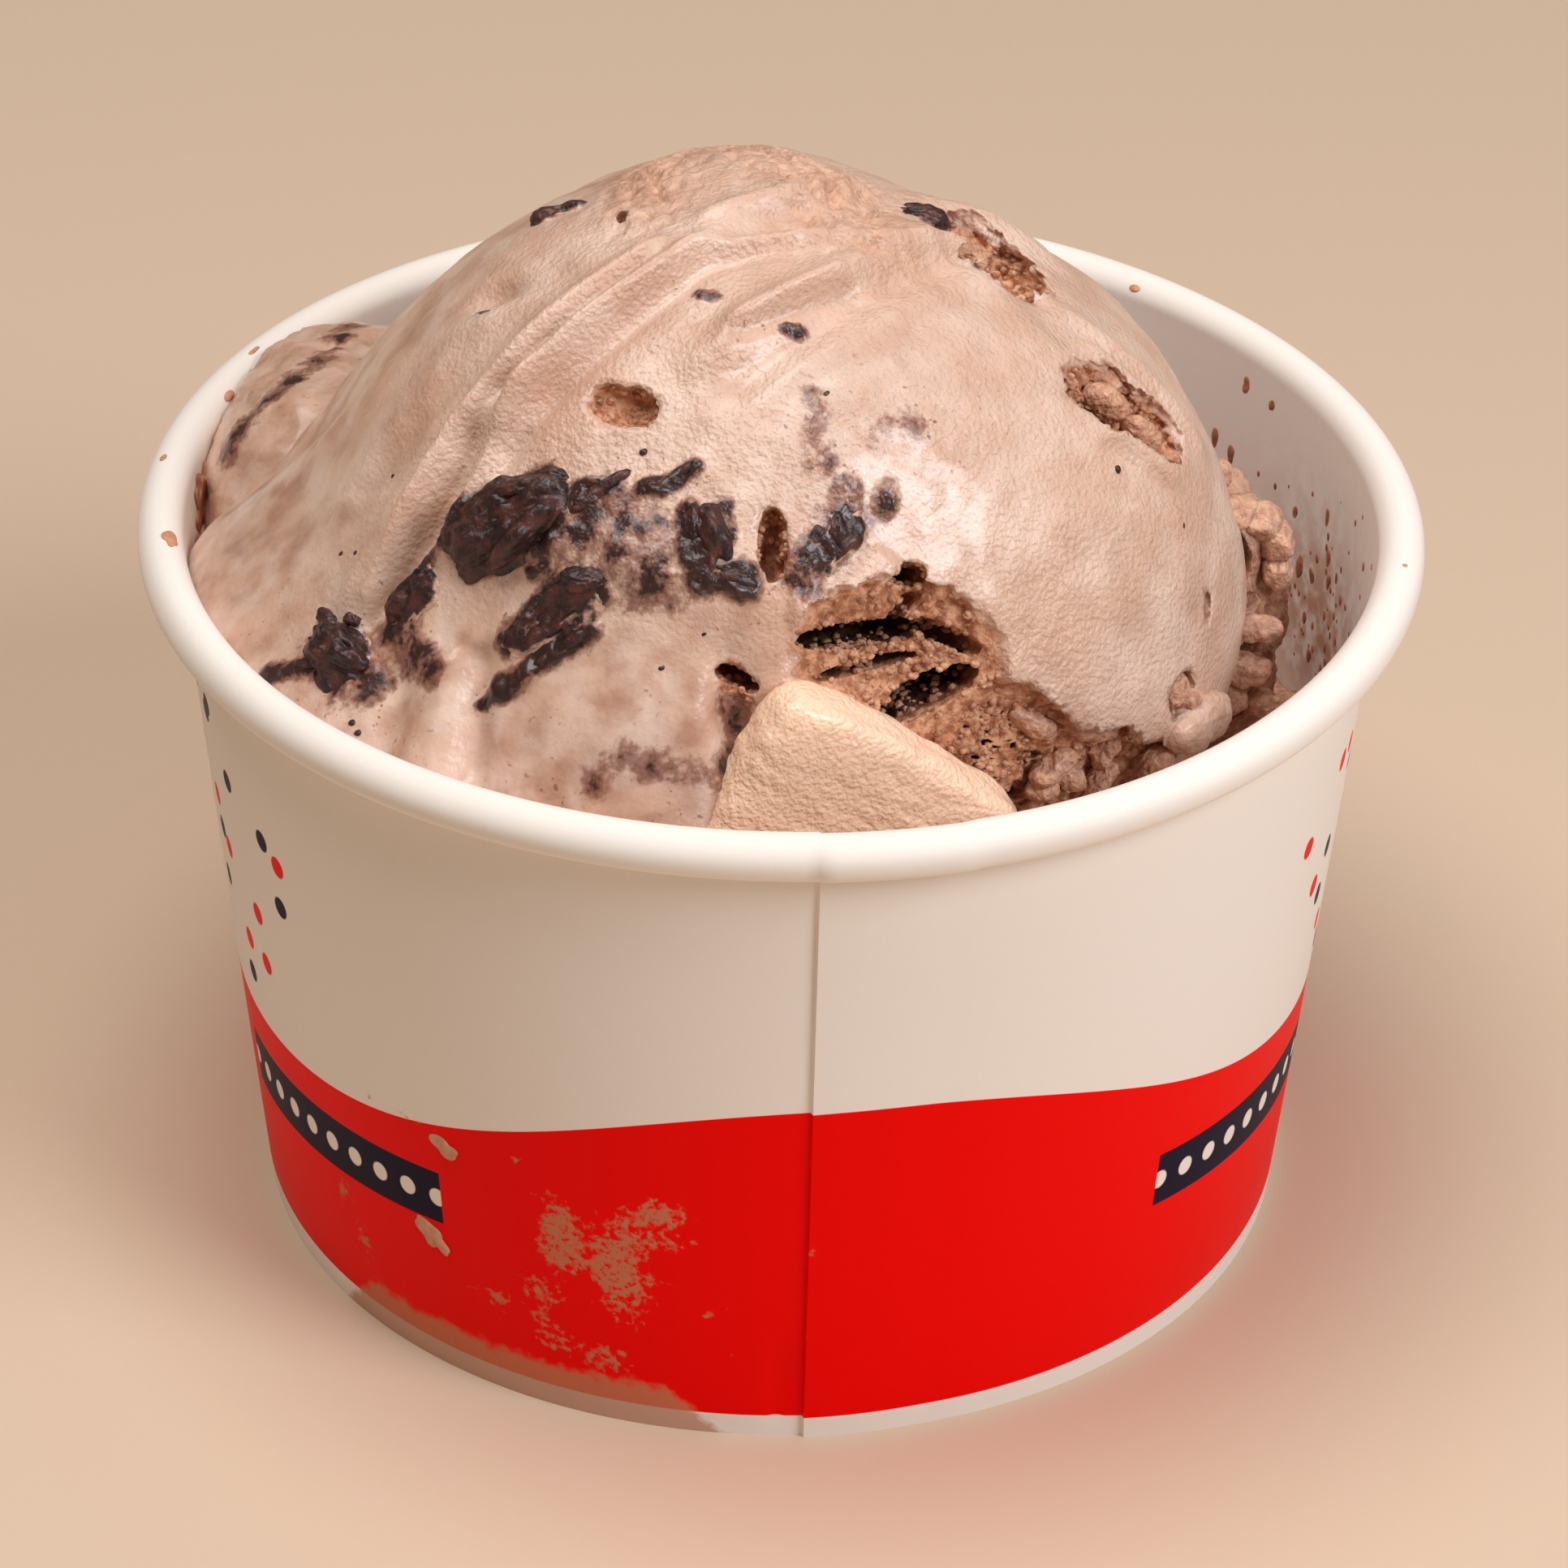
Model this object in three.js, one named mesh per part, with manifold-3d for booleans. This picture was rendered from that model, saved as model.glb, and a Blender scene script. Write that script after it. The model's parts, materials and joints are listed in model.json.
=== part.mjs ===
// Gelato cup: a squat paper tub with a rolled rim and a recessed base, filled with chocolate gelato.
// One large scoop stands above the rim, with fudge pieces set in it, on a bed of gelato in the tub.
// Millimetres, +Z up. The origin is the middle of the foot, on the table. -Y is the seam side.
import * as THREE from "three";
import { mergeVertices } from "three/addons/utils/BufferGeometryUtils.js";
import Module from "manifold-3d";

const wasm = await Module();
wasm.setup();

// Tub
const RIM_RADIUS = 47.5; // outside of the rolled rim
const FOOT_RADIUS = 38.8; // outside of the foot
const TUB_HEIGHT = 56.5;
const PAPER = 0.55; // coated board
const ROLL_RADIUS = 1.7; // outside of the rolled edge
const ROLL_TURN = 300; // degrees that the edge is rolled through
const RECESS = 6.5; // underside of the base disc above the table
const HEM_HEIGHT = 5.5; // fold that grips the skirt of the base disc
const ROUND_STEPS = 54;
const ROLL_STEPS = { inside: 5, outside: 9 };
const SEAM_AZIMUTH = 274; // edge of the outer sheet at the side seam
const SEAM_STEP = 0.35; // height of that edge
const SEAM_LAP = 13; // degrees that the sheet laps over itself
const SEAM_SLIVER = 0.4; // degrees that the edge's own face takes
const GAP = 0.3; // between pieces that touch

// Scoop
const SCOOP_CENTRE = new THREE.Vector3(-2, -2, 51);
const SCOOP_RADIUS = 34;
const SCOOP_UNEVEN = { height: 0.35, size: 7 };
const SCOOP_BOTTOM = 28; // the scoop is pressed nearly flat below this
const BOTTOM_BULGE = 0.12; // what is left of its roundness there
const SCOOP_DETAIL = 12; // steps along an edge of the sphere that it is shaped from
const VIEW_SIDE = new THREE.Vector3(0, -0.2, 0.24); // more of the faces lie on this side
const BED_LEVEL = 33; // top of the gelato that the scoop stands on
const BED_UNEVEN = { height: 0.9, size: 9 };

const RADIANS = Math.PI / 180;
const WALL_LEAN = (RIM_RADIUS - 2 * ROLL_RADIUS + PAPER - FOOT_RADIUS) / (TUB_HEIGHT - ROLL_RADIUS);

// Materials
const finish = (color, roughness) => new THREE.MeshStandardMaterial({ color, roughness, metalness: 0 });
const WHITE_BOARD = finish(0xf1ece8, 0.45);
const GELATO = finish(0xc9967a, 0.35);
const CRUMBLY_GELATO = finish(0xb98a6c, 0.6);
const FUDGE = finish(0x3a1d17, 0.4);

const cup = new THREE.Group();

// Solid from a closed geometry, with the vertices that its faces share merged.
function solidOf(geometry) {
  const bare = new THREE.BufferGeometry();
  bare.setAttribute("position", geometry.getAttribute("position"));
  bare.setIndex(geometry.index);
  const merged = mergeVertices(bare, 1e-4);
  return new wasm.Manifold(
    new wasm.Mesh({
      numProp: 3,
      vertProperties: merged.getAttribute("position").array,
      triVerts: new Uint32Array(merged.index.array),
    }),
  );
}

// Named mesh from a solid, added to the cup.
function addPiece(name, solid, material) {
  const { vertProperties, triVerts } = solid.getMesh();
  const geometry = new THREE.BufferGeometry();
  geometry.setAttribute("position", new THREE.BufferAttribute(vertProperties, 3));
  geometry.setIndex(new THREE.BufferAttribute(triVerts, 1));
  geometry.computeVertexNormals();
  const mesh = new THREE.Mesh(geometry, material);
  mesh.name = name;
  cup.add(mesh);
}

// Body turned about Z from a profile of [radius, height] points, with a copy of it at each azimuth.
// The last azimuth is the first again. adjust(azimuth, index, point) may move a point.
function turned(profile, azimuths, adjust = () => {}) {
  const points = profile.map(([radius, height]) => new THREE.Vector2(radius, height));
  const geometry = new THREE.LatheGeometry(points, azimuths.length - 1);
  const position = geometry.getAttribute("position");
  const place = new THREE.Vector3();
  azimuths.forEach((azimuth, column) => {
    profile.forEach(([radius, height], index) => {
      place.set(radius, 0, height);
      adjust(azimuth, index, place);
      const angle = azimuth * RADIANS;
      position.setXYZ(
        column * profile.length + index,
        place.x * Math.cos(angle),
        place.x * Math.sin(angle),
        place.z,
      );
    });
  });
  return solidOf(geometry);
}

const EVEN_AZIMUTHS = Array.from(
  { length: ROUND_STEPS + 1 },
  (_, i) => (360 * (i % ROUND_STEPS)) / ROUND_STEPS,
);

// Radius of the wall's outer and inner face at a height.
const wallOuter = (height) => FOOT_RADIUS + WALL_LEAN * height;
const wallInner = (height) => wallOuter(height) - PAPER;

// Side wall. The sheet is rolled outwards at the rim and folded inwards at the foot, round the skirt
// of the base disc. Its outer edge laps over the sheet's start at the side seam.
function tubWall() {
  const skirtSlot = PAPER + 2 * GAP;
  const rollCentre = [RIM_RADIUS - ROLL_RADIUS, TUB_HEIGHT - ROLL_RADIUS];
  const rollArc = (radius, count) =>
    Array.from({ length: count + 1 }, (_, i) => {
      const angle = (180 - (ROLL_TURN * i) / count) * RADIANS;
      return [rollCentre[0] + radius * Math.cos(angle), rollCentre[1] + radius * Math.sin(angle)];
    });
  const outside = [0, 1 / 3, 2 / 3].map((share) => [wallOuter(share * TUB_HEIGHT), share * TUB_HEIGHT]);
  const profile = [
    ...outside,
    ...rollArc(ROLL_RADIUS - PAPER, ROLL_STEPS.inside),
    ...rollArc(ROLL_RADIUS, ROLL_STEPS.outside).reverse(),
    [wallInner(PAPER), PAPER],
    [wallInner(PAPER) - skirtSlot, PAPER],
    [wallInner(HEM_HEIGHT) - skirtSlot, HEM_HEIGHT],
    [wallInner(HEM_HEIGHT) - skirtSlot - PAPER, HEM_HEIGHT],
    [wallInner(0) - skirtSlot - PAPER, 0],
    outside[0],
  ];
  const lap = (azimuth) => {
    const past = azimuth - SEAM_AZIMUTH;
    return past >= 0 && past < SEAM_LAP ? SEAM_STEP * (1 - past / SEAM_LAP) : 0;
  };
  const onOutside = (index) => index < outside.length || index === profile.length - 1;
  const rest = ROUND_STEPS - 1;
  const sweep = 360 - SEAM_SLIVER;
  const azimuths = Array.from({ length: rest + 1 }, (_, i) => SEAM_AZIMUTH + (sweep * i) / rest);
  azimuths.push(SEAM_AZIMUTH);
  return turned(profile, azimuths, (azimuth, index, place) => {
    if (onOutside(index)) place.x += lap(azimuth);
  });
}

// Base disc with its skirt turned down into the wall's fold.
function tubBase() {
  const skirtOuter = (height) => wallInner(height) - GAP;
  const skirtBottom = PAPER + GAP;
  const profile = [
    [0, RECESS],
    [skirtOuter(RECESS) - PAPER, RECESS],
    [skirtOuter(skirtBottom) - PAPER, skirtBottom],
    [skirtOuter(skirtBottom), skirtBottom],
    [skirtOuter(RECESS + PAPER), RECESS + PAPER],
    [0, RECESS + PAPER],
  ];
  return turned(profile, EVEN_AZIMUTHS);
}

// Smooth wobble between -1 and 1 that repeats nowhere near by. size is the width of its bumps.
function wobble(p, size) {
  const a = Math.sin((2.1 * p.x) / size + 1.7 * Math.sin((1.3 * p.y) / size + 0.5));
  const b = Math.sin((1.9 * p.y) / size + 1.3 * Math.sin((1.1 * p.z) / size + 1.2));
  const c = Math.sin((2.3 * p.z) / size + 1.5 * Math.sin((1.2 * p.x) / size + 2.4));
  return (a + b + c) / 3;
}

const smooth = (from, to, value) => THREE.MathUtils.smoothstep(value, from, to);

// Direction from the scoop's centre at an azimuth and elevation in degrees.
function direction(azimuth, elevation) {
  const level = Math.cos(elevation * RADIANS);
  return new THREE.Vector3(
    level * Math.cos(azimuth * RADIANS),
    level * Math.sin(azimuth * RADIANS),
    Math.sin(elevation * RADIANS),
  );
}

// Axes at a spot of the scoop's surface: along it, across it and outwards. turn is in degrees, and
// turns along from level to upwards.
function spotAxes(azimuth, elevation, turn) {
  const outward = direction(azimuth, elevation);
  const east = new THREE.Vector3(-Math.sin(azimuth * RADIANS), Math.cos(azimuth * RADIANS), 0);
  const along = east.clone().applyAxisAngle(outward, turn * RADIANS);
  const across = outward.clone().cross(along);
  return { along, across, outward };
}

// Distances in millimetres over the surface from a spot, for a direction from the scoop's centre.
function spot(azimuth, elevation, turn) {
  const { along, across, outward } = spotAxes(azimuth, elevation, turn);
  return (d) => {
    if (d.dot(outward) <= 0.1) return null;
    return [SCOOP_RADIUS * Math.asin(d.dot(along)), SCOOP_RADIUS * Math.asin(d.dot(across))];
  };
}

// Soft swelling, length and width being where it has fallen to 0.6. below widens its lower half.
function swelling({ azimuth, elevation, turn = 0, length, width, height, below = 1 }) {
  const local = spot(azimuth, elevation, turn);
  return (d) => {
    const at = local(d);
    if (!at) return 0;
    const spread = at[1] < 0 ? width * below : width;
    return height * Math.exp(-0.5 * ((at[0] / length) ** 2 + (at[1] / spread) ** 2));
  };
}

// Ridge that the scoop's edge dragged up, with a groove beside it, along an arc between two spots.
function dragMark({ from, to, width, height }) {
  const start = direction(...from);
  const end = direction(...to);
  const normal = start.clone().cross(end).normalize();
  const middle = start.clone().add(end).normalize();
  const half = SCOOP_RADIUS * Math.acos(start.dot(middle));
  const onward = normal.clone().cross(middle);
  return (d) => {
    if (d.dot(middle) <= 0.1) return 0;
    const along = Math.abs(SCOOP_RADIUS * Math.asin(d.dot(onward)));
    const side = SCOOP_RADIUS * Math.asin(d.dot(normal));
    const fade = 1 - smooth(0.75 * half, 1.15 * half, along);
    const ridge = Math.exp(-((side / width) ** 2));
    const groove = Math.exp(-(((side + 1.9 * width) / width) ** 2));
    return height * fade * (ridge - 0.7 * groove);
  };
}

// What the scoop's surface has beyond a plain ball.
const SCOOP_RELIEF = [
  swelling({ azimuth: 90, elevation: 54, length: 24, width: 14, height: -1.1 }), // low back
  swelling({ azimuth: 145, elevation: 45, length: 10, width: 12, height: -2.5 }), // low left shoulder
  swelling({ azimuth: 50, elevation: 52, length: 9, width: 10, height: -2 }), // low right shoulder
  swelling({ azimuth: 0, elevation: 62, length: 13, width: 10, height: -1.4 }),
  swelling({ azimuth: 352, elevation: 2, length: 14, width: 12, height: 2.2 }),
  swelling({ azimuth: 194, elevation: -4, length: 18, width: 5.8, height: 9, below: 3 }), // melted left side
  swelling({ azimuth: 232, elevation: -10, length: 12, width: 6, height: 6, below: 2.6 }),
  swelling({ azimuth: 256, elevation: 6, turn: 20, length: 5, width: 6, height: 2.6 }), // front lump
  swelling({ azimuth: 257, elevation: 31, turn: -6, length: 10, width: 2.6, height: 1 }), // brow
  dragMark({ from: [215, 14], to: [222, 44], width: 1.5, height: 1.2 }),
  dragMark({ from: [222, 40], to: [240, 72], width: 1.5, height: 1.2 }),
  dragMark({ from: [258, 55], to: [352, 66], width: 1.6, height: 1 }),
  dragMark({ from: [240, 74], to: [20, 76], width: 1.5, height: 0.7 }),
];

// Where the gelato tore: a piece of this form is missing from the scoop.
const TORN = [
  { azimuth: 289, elevation: 21, turn: -14, half: [7.8, 5.2, 4.6], proud: 4.6 }, // cave in front
  { azimuth: 293, elevation: 11.5, turn: 26, half: [5.4, 2, 5], proud: 0.6 }, // its deepest slot
  { azimuth: 311, elevation: -5, turn: -32, half: [13, 7.5, 3.4], proud: 3.4 }, // under the scoop's lip
  { azimuth: 246, elevation: 49, half: [2.8, 1.9, 2], proud: 2, detail: 1 }, // round pit
  { azimuth: 343, elevation: 34, turn: -62, half: [6, 2, 3.2], proud: 3.2 }, // streak at the right
  { azimuth: 273, elevation: 36, turn: 80, half: [2.6, 1.3, 2.6], proud: 2, detail: 1 },
  { azimuth: 268, elevation: 14, turn: 78, half: [3.4, 1.3, 4], proud: 2, detail: 1 }, // slit by the slab
];

function scoopReach(d) {
  const relief = SCOOP_RELIEF.reduce((sum, part) => sum + part(d), 0);
  const onBall = d.clone().multiplyScalar(SCOOP_RADIUS);
  return SCOOP_RADIUS + relief + SCOOP_UNEVEN.height * wobble(onBall, SCOOP_UNEVEN.size);
}

// Keeps a point off the tub's wall, and clear of its rolled rim.
function keepInside(point) {
  const overRoll = Math.max(0, point.z - TUB_HEIGHT);
  const limit = wallInner(Math.min(point.z, TUB_HEIGHT - ROLL_RADIUS)) + overRoll - GAP;
  const radius = Math.hypot(point.x, point.y);
  if (radius > limit) {
    point.x *= limit / radius;
    point.y *= limit / radius;
  }
  return point;
}

// Ball whose points are moved out to where place(direction) puts them.
function shaped(detail, place, pull = new THREE.Vector3()) {
  const geometry = new THREE.IcosahedronGeometry(1, detail);
  const position = geometry.getAttribute("position");
  const d = new THREE.Vector3();
  for (let i = 0; i < position.count; i += 1) {
    d.fromBufferAttribute(position, i).add(pull).normalize();
    const point = place(d);
    position.setXYZ(i, point.x, point.y, point.z);
  }
  return solidOf(geometry);
}

// Scoop, or the scoop grown all round by a clearance.
function scoopBody(clearance) {
  return shaped(
    SCOOP_DETAIL,
    (d) => {
      const point = SCOOP_CENTRE.clone().addScaledVector(d, scoopReach(d) + clearance);
      const floor = SCOOP_BOTTOM - clearance;
      if (point.z < floor) point.z = floor + BOTTOM_BULGE * (point.z - floor);
      return keepInside(point);
    },
    VIEW_SIDE,
  );
}

// Rounded, uneven block with half sizes along three axes. square is 2 for an egg and more for a block.
function lump({ centre, axes, half, square = 2.2, rough, grain, detail, clearance = 0 }) {
  return shaped(detail, (d) => {
    const reach = (value, size) => (Math.abs(value) / size) ** square;
    const local = [d.x, d.y, d.z];
    const sum = local.reduce((total, value, i) => total + reach(value, half[i]), 0);
    const distance = sum ** (-1 / square);
    const point = centre.clone();
    [axes.along, axes.across, axes.outward].forEach((axis, i) => {
      point.addScaledVector(axis, local[i] * distance);
    });
    const push = clearance + rough * wobble(point, grain);
    const outward = point.clone().sub(centre).normalize();
    return keepInside(point.addScaledVector(outward, push));
  });
}

// Lump set in the scoop's surface. proud is how far its middle stands out.
function setLump({ azimuth, elevation, turn = 0, half, proud, ...rest }, clearance = 0) {
  const axes = spotAxes(azimuth, elevation, turn);
  const depth = scoopReach(axes.outward) + proud - half[2];
  const centre = SCOOP_CENTRE.clone().addScaledVector(axes.outward, depth);
  return lump({ centre, axes, half, clearance, ...rest });
}

const UPRIGHT = {
  along: new THREE.Vector3(1, 0, 0),
  across: new THREE.Vector3(0, 1, 0),
  outward: new THREE.Vector3(0, 0, 1),
};

// Gelato that fills the tub below the scoop, level but for a slow unevenness.
function bedBody() {
  const floor = RECESS + PAPER + GAP;
  const edge = wallInner(BED_LEVEL - 2 * BED_UNEVEN.height) - GAP;
  const profile = [[0, floor], [wallInner(floor) - GAP, floor]];
  const under = profile.length;
  [1, 0.85, 0.6].forEach((share) => profile.push([share * edge, BED_LEVEL]));
  profile.push([0, BED_LEVEL]);
  return turned(profile, EVEN_AZIMUTHS, (azimuth, index, place) => {
    if (index < under || index === profile.length - 1) return;
    const here = direction(azimuth, 0).multiplyScalar(place.x);
    place.z += BED_UNEVEN.height * (wobble(here, BED_UNEVEN.size) - 1);
  });
}

// Pieces of gelato beside the scoop, and fudge pieces set in it.
const SLAB = { azimuth: 283.5, elevation: -3.5, turn: -38, half: [11, 8.2, 2.8], proud: 2.4, square: 5 };
const SIDE_LUMPS = {
  gelato_left: { centre: new THREE.Vector3(-34, 12.5, 47), half: [9.5, 16.5, 13.5], rough: 1.1, grain: 6 },
  gelato_right: { centre: new THREE.Vector3(32.6, 4, 45), half: [4.6, 7.4, 10.6], rough: 1.2, grain: 3.2 },
};
const FUDGE_PIECES = {
  fudge_large: { azimuth: 234.6, elevation: 31.4, turn: 44, half: [5.2, 3, 2.6], proud: 1.4 },
  fudge_tail: { azimuth: 223.6, elevation: 18.2, turn: 76, half: [3.9, 1.8, 2.2], proud: 0.8 },
  fudge_wedge: { azimuth: 218, elevation: 8.8, turn: 8, half: [3.6, 2.3, 2.3], proud: 0.9 },
  fudge_bar: { azimuth: 244.8, elevation: 22.6, turn: 46, half: [4.9, 2.2, 2.2], proud: 0.9 },
  fudge_middle: { azimuth: 265, elevation: 33.5, turn: -70, half: [2.9, 2, 2], proud: 0.7, detail: 1 },
  fudge_glazed: { azimuth: 281.5, elevation: 34.5, turn: 60, half: [2.6, 2, 2], proud: 0.6, detail: 1 },
  fudge_top_right: { azimuth: 6, elevation: 68, turn: 100, half: [2.5, 1.3, 1.6], proud: 0.7, detail: 1 },
  fudge_top_left: { azimuth: 176, elevation: 64, turn: 80, half: [2.4, 1.3, 1.6], proud: 0.7, detail: 1 },
};
const SLAB_FINISH = { rough: 0.25, grain: 6, detail: 4 };
const FUDGE_FINISH = { rough: 0.45, grain: 1.6, detail: 2, square: 2.5 };
const TORN_FINISH = { rough: 0.4, grain: 2.2, detail: 2, square: 2.4 };
const SIDE_FINISH = { axes: UPRIGHT, square: 2.4, detail: 4 };

// The slab and the fudge keep their form, and what lies round them is cut back from them.
const slab = setLump({ ...SLAB_FINISH, ...SLAB });
const slabRoom = setLump({ ...SLAB_FINISH, ...SLAB }, GAP);
let cutAway = slabRoom;
const fudge = {};
Object.entries(FUDGE_PIECES).forEach(([name, piece]) => {
  fudge[name] = setLump({ ...FUDGE_FINISH, ...piece });
  cutAway = cutAway.add(setLump({ ...FUDGE_FINISH, ...piece }, GAP));
});
TORN.forEach((piece) => {
  cutAway = cutAway.add(setLump({ ...TORN_FINISH, ...piece }));
});
const scoop = scoopBody(0).subtract(cutAway);
const scoopRoom = scoopBody(GAP);

// Largest of the bodies that a cut leaves.
function largestBody(solid) {
  const bodies = solid.decompose();
  return bodies.reduce((best, other) => (other.volume() > best.volume() ? other : best));
}

let bed = bedBody().subtract(scoopRoom).subtract(slabRoom);
addPiece("tub_wall", tubWall(), WHITE_BOARD);
addPiece("tub_base", tubBase(), WHITE_BOARD);
addPiece("scoop", largestBody(scoop), GELATO);
addPiece("slab", slab, GELATO);
Object.entries(SIDE_LUMPS).forEach(([name, piece]) => {
  const body = lump({ ...SIDE_FINISH, ...piece }).subtract(scoopRoom);
  addPiece(name, largestBody(body), CRUMBLY_GELATO);
  bed = bed.subtract(lump({ ...SIDE_FINISH, ...piece, clearance: GAP }));
});
addPiece("gelato_bed", largestBody(bed), CRUMBLY_GELATO);
Object.entries(fudge).forEach(([name, solid]) => addPiece(name, solid, FUDGE));

export default cup;
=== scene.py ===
# Gelato cup: a paper tub with a scoop of chocolate gelato and fudge pieces, on a pale table.
import json
import math
import random

import bmesh
import bpy
import numpy as np
from mathutils import Matrix, Vector, noise

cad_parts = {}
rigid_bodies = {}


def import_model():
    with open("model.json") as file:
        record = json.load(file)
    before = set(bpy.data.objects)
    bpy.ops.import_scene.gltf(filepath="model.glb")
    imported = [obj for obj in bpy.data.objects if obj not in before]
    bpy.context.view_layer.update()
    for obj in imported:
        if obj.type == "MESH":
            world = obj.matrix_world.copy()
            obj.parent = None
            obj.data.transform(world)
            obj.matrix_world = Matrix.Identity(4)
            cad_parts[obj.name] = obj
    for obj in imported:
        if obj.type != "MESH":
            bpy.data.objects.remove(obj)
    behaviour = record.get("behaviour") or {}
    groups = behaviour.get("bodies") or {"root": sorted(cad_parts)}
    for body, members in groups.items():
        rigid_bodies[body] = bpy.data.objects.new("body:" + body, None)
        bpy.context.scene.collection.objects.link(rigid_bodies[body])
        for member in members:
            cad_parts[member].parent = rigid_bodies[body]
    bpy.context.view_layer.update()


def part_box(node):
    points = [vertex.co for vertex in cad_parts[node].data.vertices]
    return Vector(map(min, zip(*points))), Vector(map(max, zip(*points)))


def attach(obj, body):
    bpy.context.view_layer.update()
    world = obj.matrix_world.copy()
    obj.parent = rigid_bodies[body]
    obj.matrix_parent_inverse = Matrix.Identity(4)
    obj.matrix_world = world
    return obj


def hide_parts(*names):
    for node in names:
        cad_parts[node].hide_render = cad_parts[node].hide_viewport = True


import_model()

# Tub wall. One sheet of coated white board, printed in red and navy, is wrapped into a cone and
# glued with a lap at the front. Its top edge is rolled outwards and its foot is folded inwards.
MM = 0.001  # meshes are made in millimetres, and finish_piece() turns them to metres
RIM_RADIUS = 47.5
FOOT_RADIUS = 38.8
TUB_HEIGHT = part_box("tub_wall")[1].z / MM
PAPER = 0.55
ROLL_RADIUS = 1.7
ROLL_TURN = 300
HEM_HEIGHT = 5.5
SKIRT_SLOT = 1.15
ROUND_STEPS = 288
WALL_ROWS = 44
ROLL_STEPS = 30
SEAM_AZIMUTH = 274
SEAM_STEP = 0.35
SEAM_LAP = 13
SEAM_SLIVER = 0.25
RIM_STEP = 0.16
WALL_LEAN = (RIM_RADIUS - 2 * ROLL_RADIUS + PAPER - FOOT_RADIUS) / (TUB_HEIGHT - ROLL_RADIUS)
SHEET_SCALE = math.radians(1) * (FOOT_RADIUS + RIM_RADIUS) / 2  # millimetres of sheet in a degree
CREASE_ANGLE = math.radians(40)  # sharper edges than this stay sharp
BOW = {"oval": 0.18, "five_sided": 0.07, "inwards": 0.2}  # how far the thin wall bows
DENT = {"azimuth": 271.4, "low": 1.2, "high": 9.5, "width": 0.55, "depth": 0.3}

BAND_SIDE = 20.2  # top of the red band at the sides
BAND_RISE = 10.9  # how much higher it is at the front and back
BAND_MIDDLE = 279
BAND_WIDTH = 41  # degrees
FOOT_STRIPE = 1.9
LABEL_FROM = 40  # degrees from the seam to the near end of each navy label
LABEL_TO = 78
LABEL_HEIGHT = 16.4
LABEL_DROP = 2.2
LABEL_HALF = 2.4
LABEL_DOT = {"spacing": 3.1, "radius": 0.8}
CONFETTI = {"height": 34.5, "half_height": 12.5, "half_width": 25, "size": 5.2, "radius": 0.17}

# Dried gelato on the wall: azimuth, height, half sizes round and up the wall, strength.
STAINS = [
    (248.6, 16.5, 1.7, 3.0, 1.0),
    (254.5, 15.0, 1.9, 3.8, 1.05),
    (258.5, 20.3, 2.6, 1.2, 0.9),
    (259.5, 17.4, 2.2, 0.6, 0.8),
    (239.6, 8.4, 2.4, 0.6, 0.85),
    (245.5, 10.5, 1.3, 1.5, 0.8),
    (247.0, 6.8, 1.7, 1.3, 0.75),
    (252.3, 5.8, 1.9, 1.0, 0.85),
    (264.0, 11.7, 0.6, 0.6, 0.85),
    (266.5, 8.0, 0.5, 0.5, 0.8),
    (244.2, 22.8, 0.5, 0.5, 0.8),
    (220.9, 8.0, 1.0, 1.4, 0.8),
    (218.0, 11.0, 0.8, 1.4, 0.75),
    (229.5, 23.3, 3.0, 0.35, 0.8),
    (274.4, 18.0, 0.3, 0.4, 1.0),
    (274.4, 9.6, 0.3, 0.6, 1.0),
]
FOOT_STAIN = {"from": 214, "to": 267, "fade": 9, "height": 4.3}  # a tan band above the foot
# A brown patch, broken up by noise, inside the wall behind the crumbly lump.
INNER_BROWN_PATCH = {"azimuth": 14, "height": 40, "half_round": 10, "half_up": 5, "strength": 0.9}


def srgb(red, green, blue):
    """Linear colour of an 8-bit screen colour."""
    shares = [value / 255 for value in (red, green, blue)]
    return (*[s / 12.92 if s <= 0.04045 else ((s + 0.055) / 1.055) ** 2.4 for s in shares], 1)


BOARD_WHITE = srgb(242, 234, 226)
BOARD_RED = srgb(246, 2, 0)
BOARD_NAVY = srgb(26, 22, 44)
DRIED = srgb(192, 134, 100)


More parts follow.
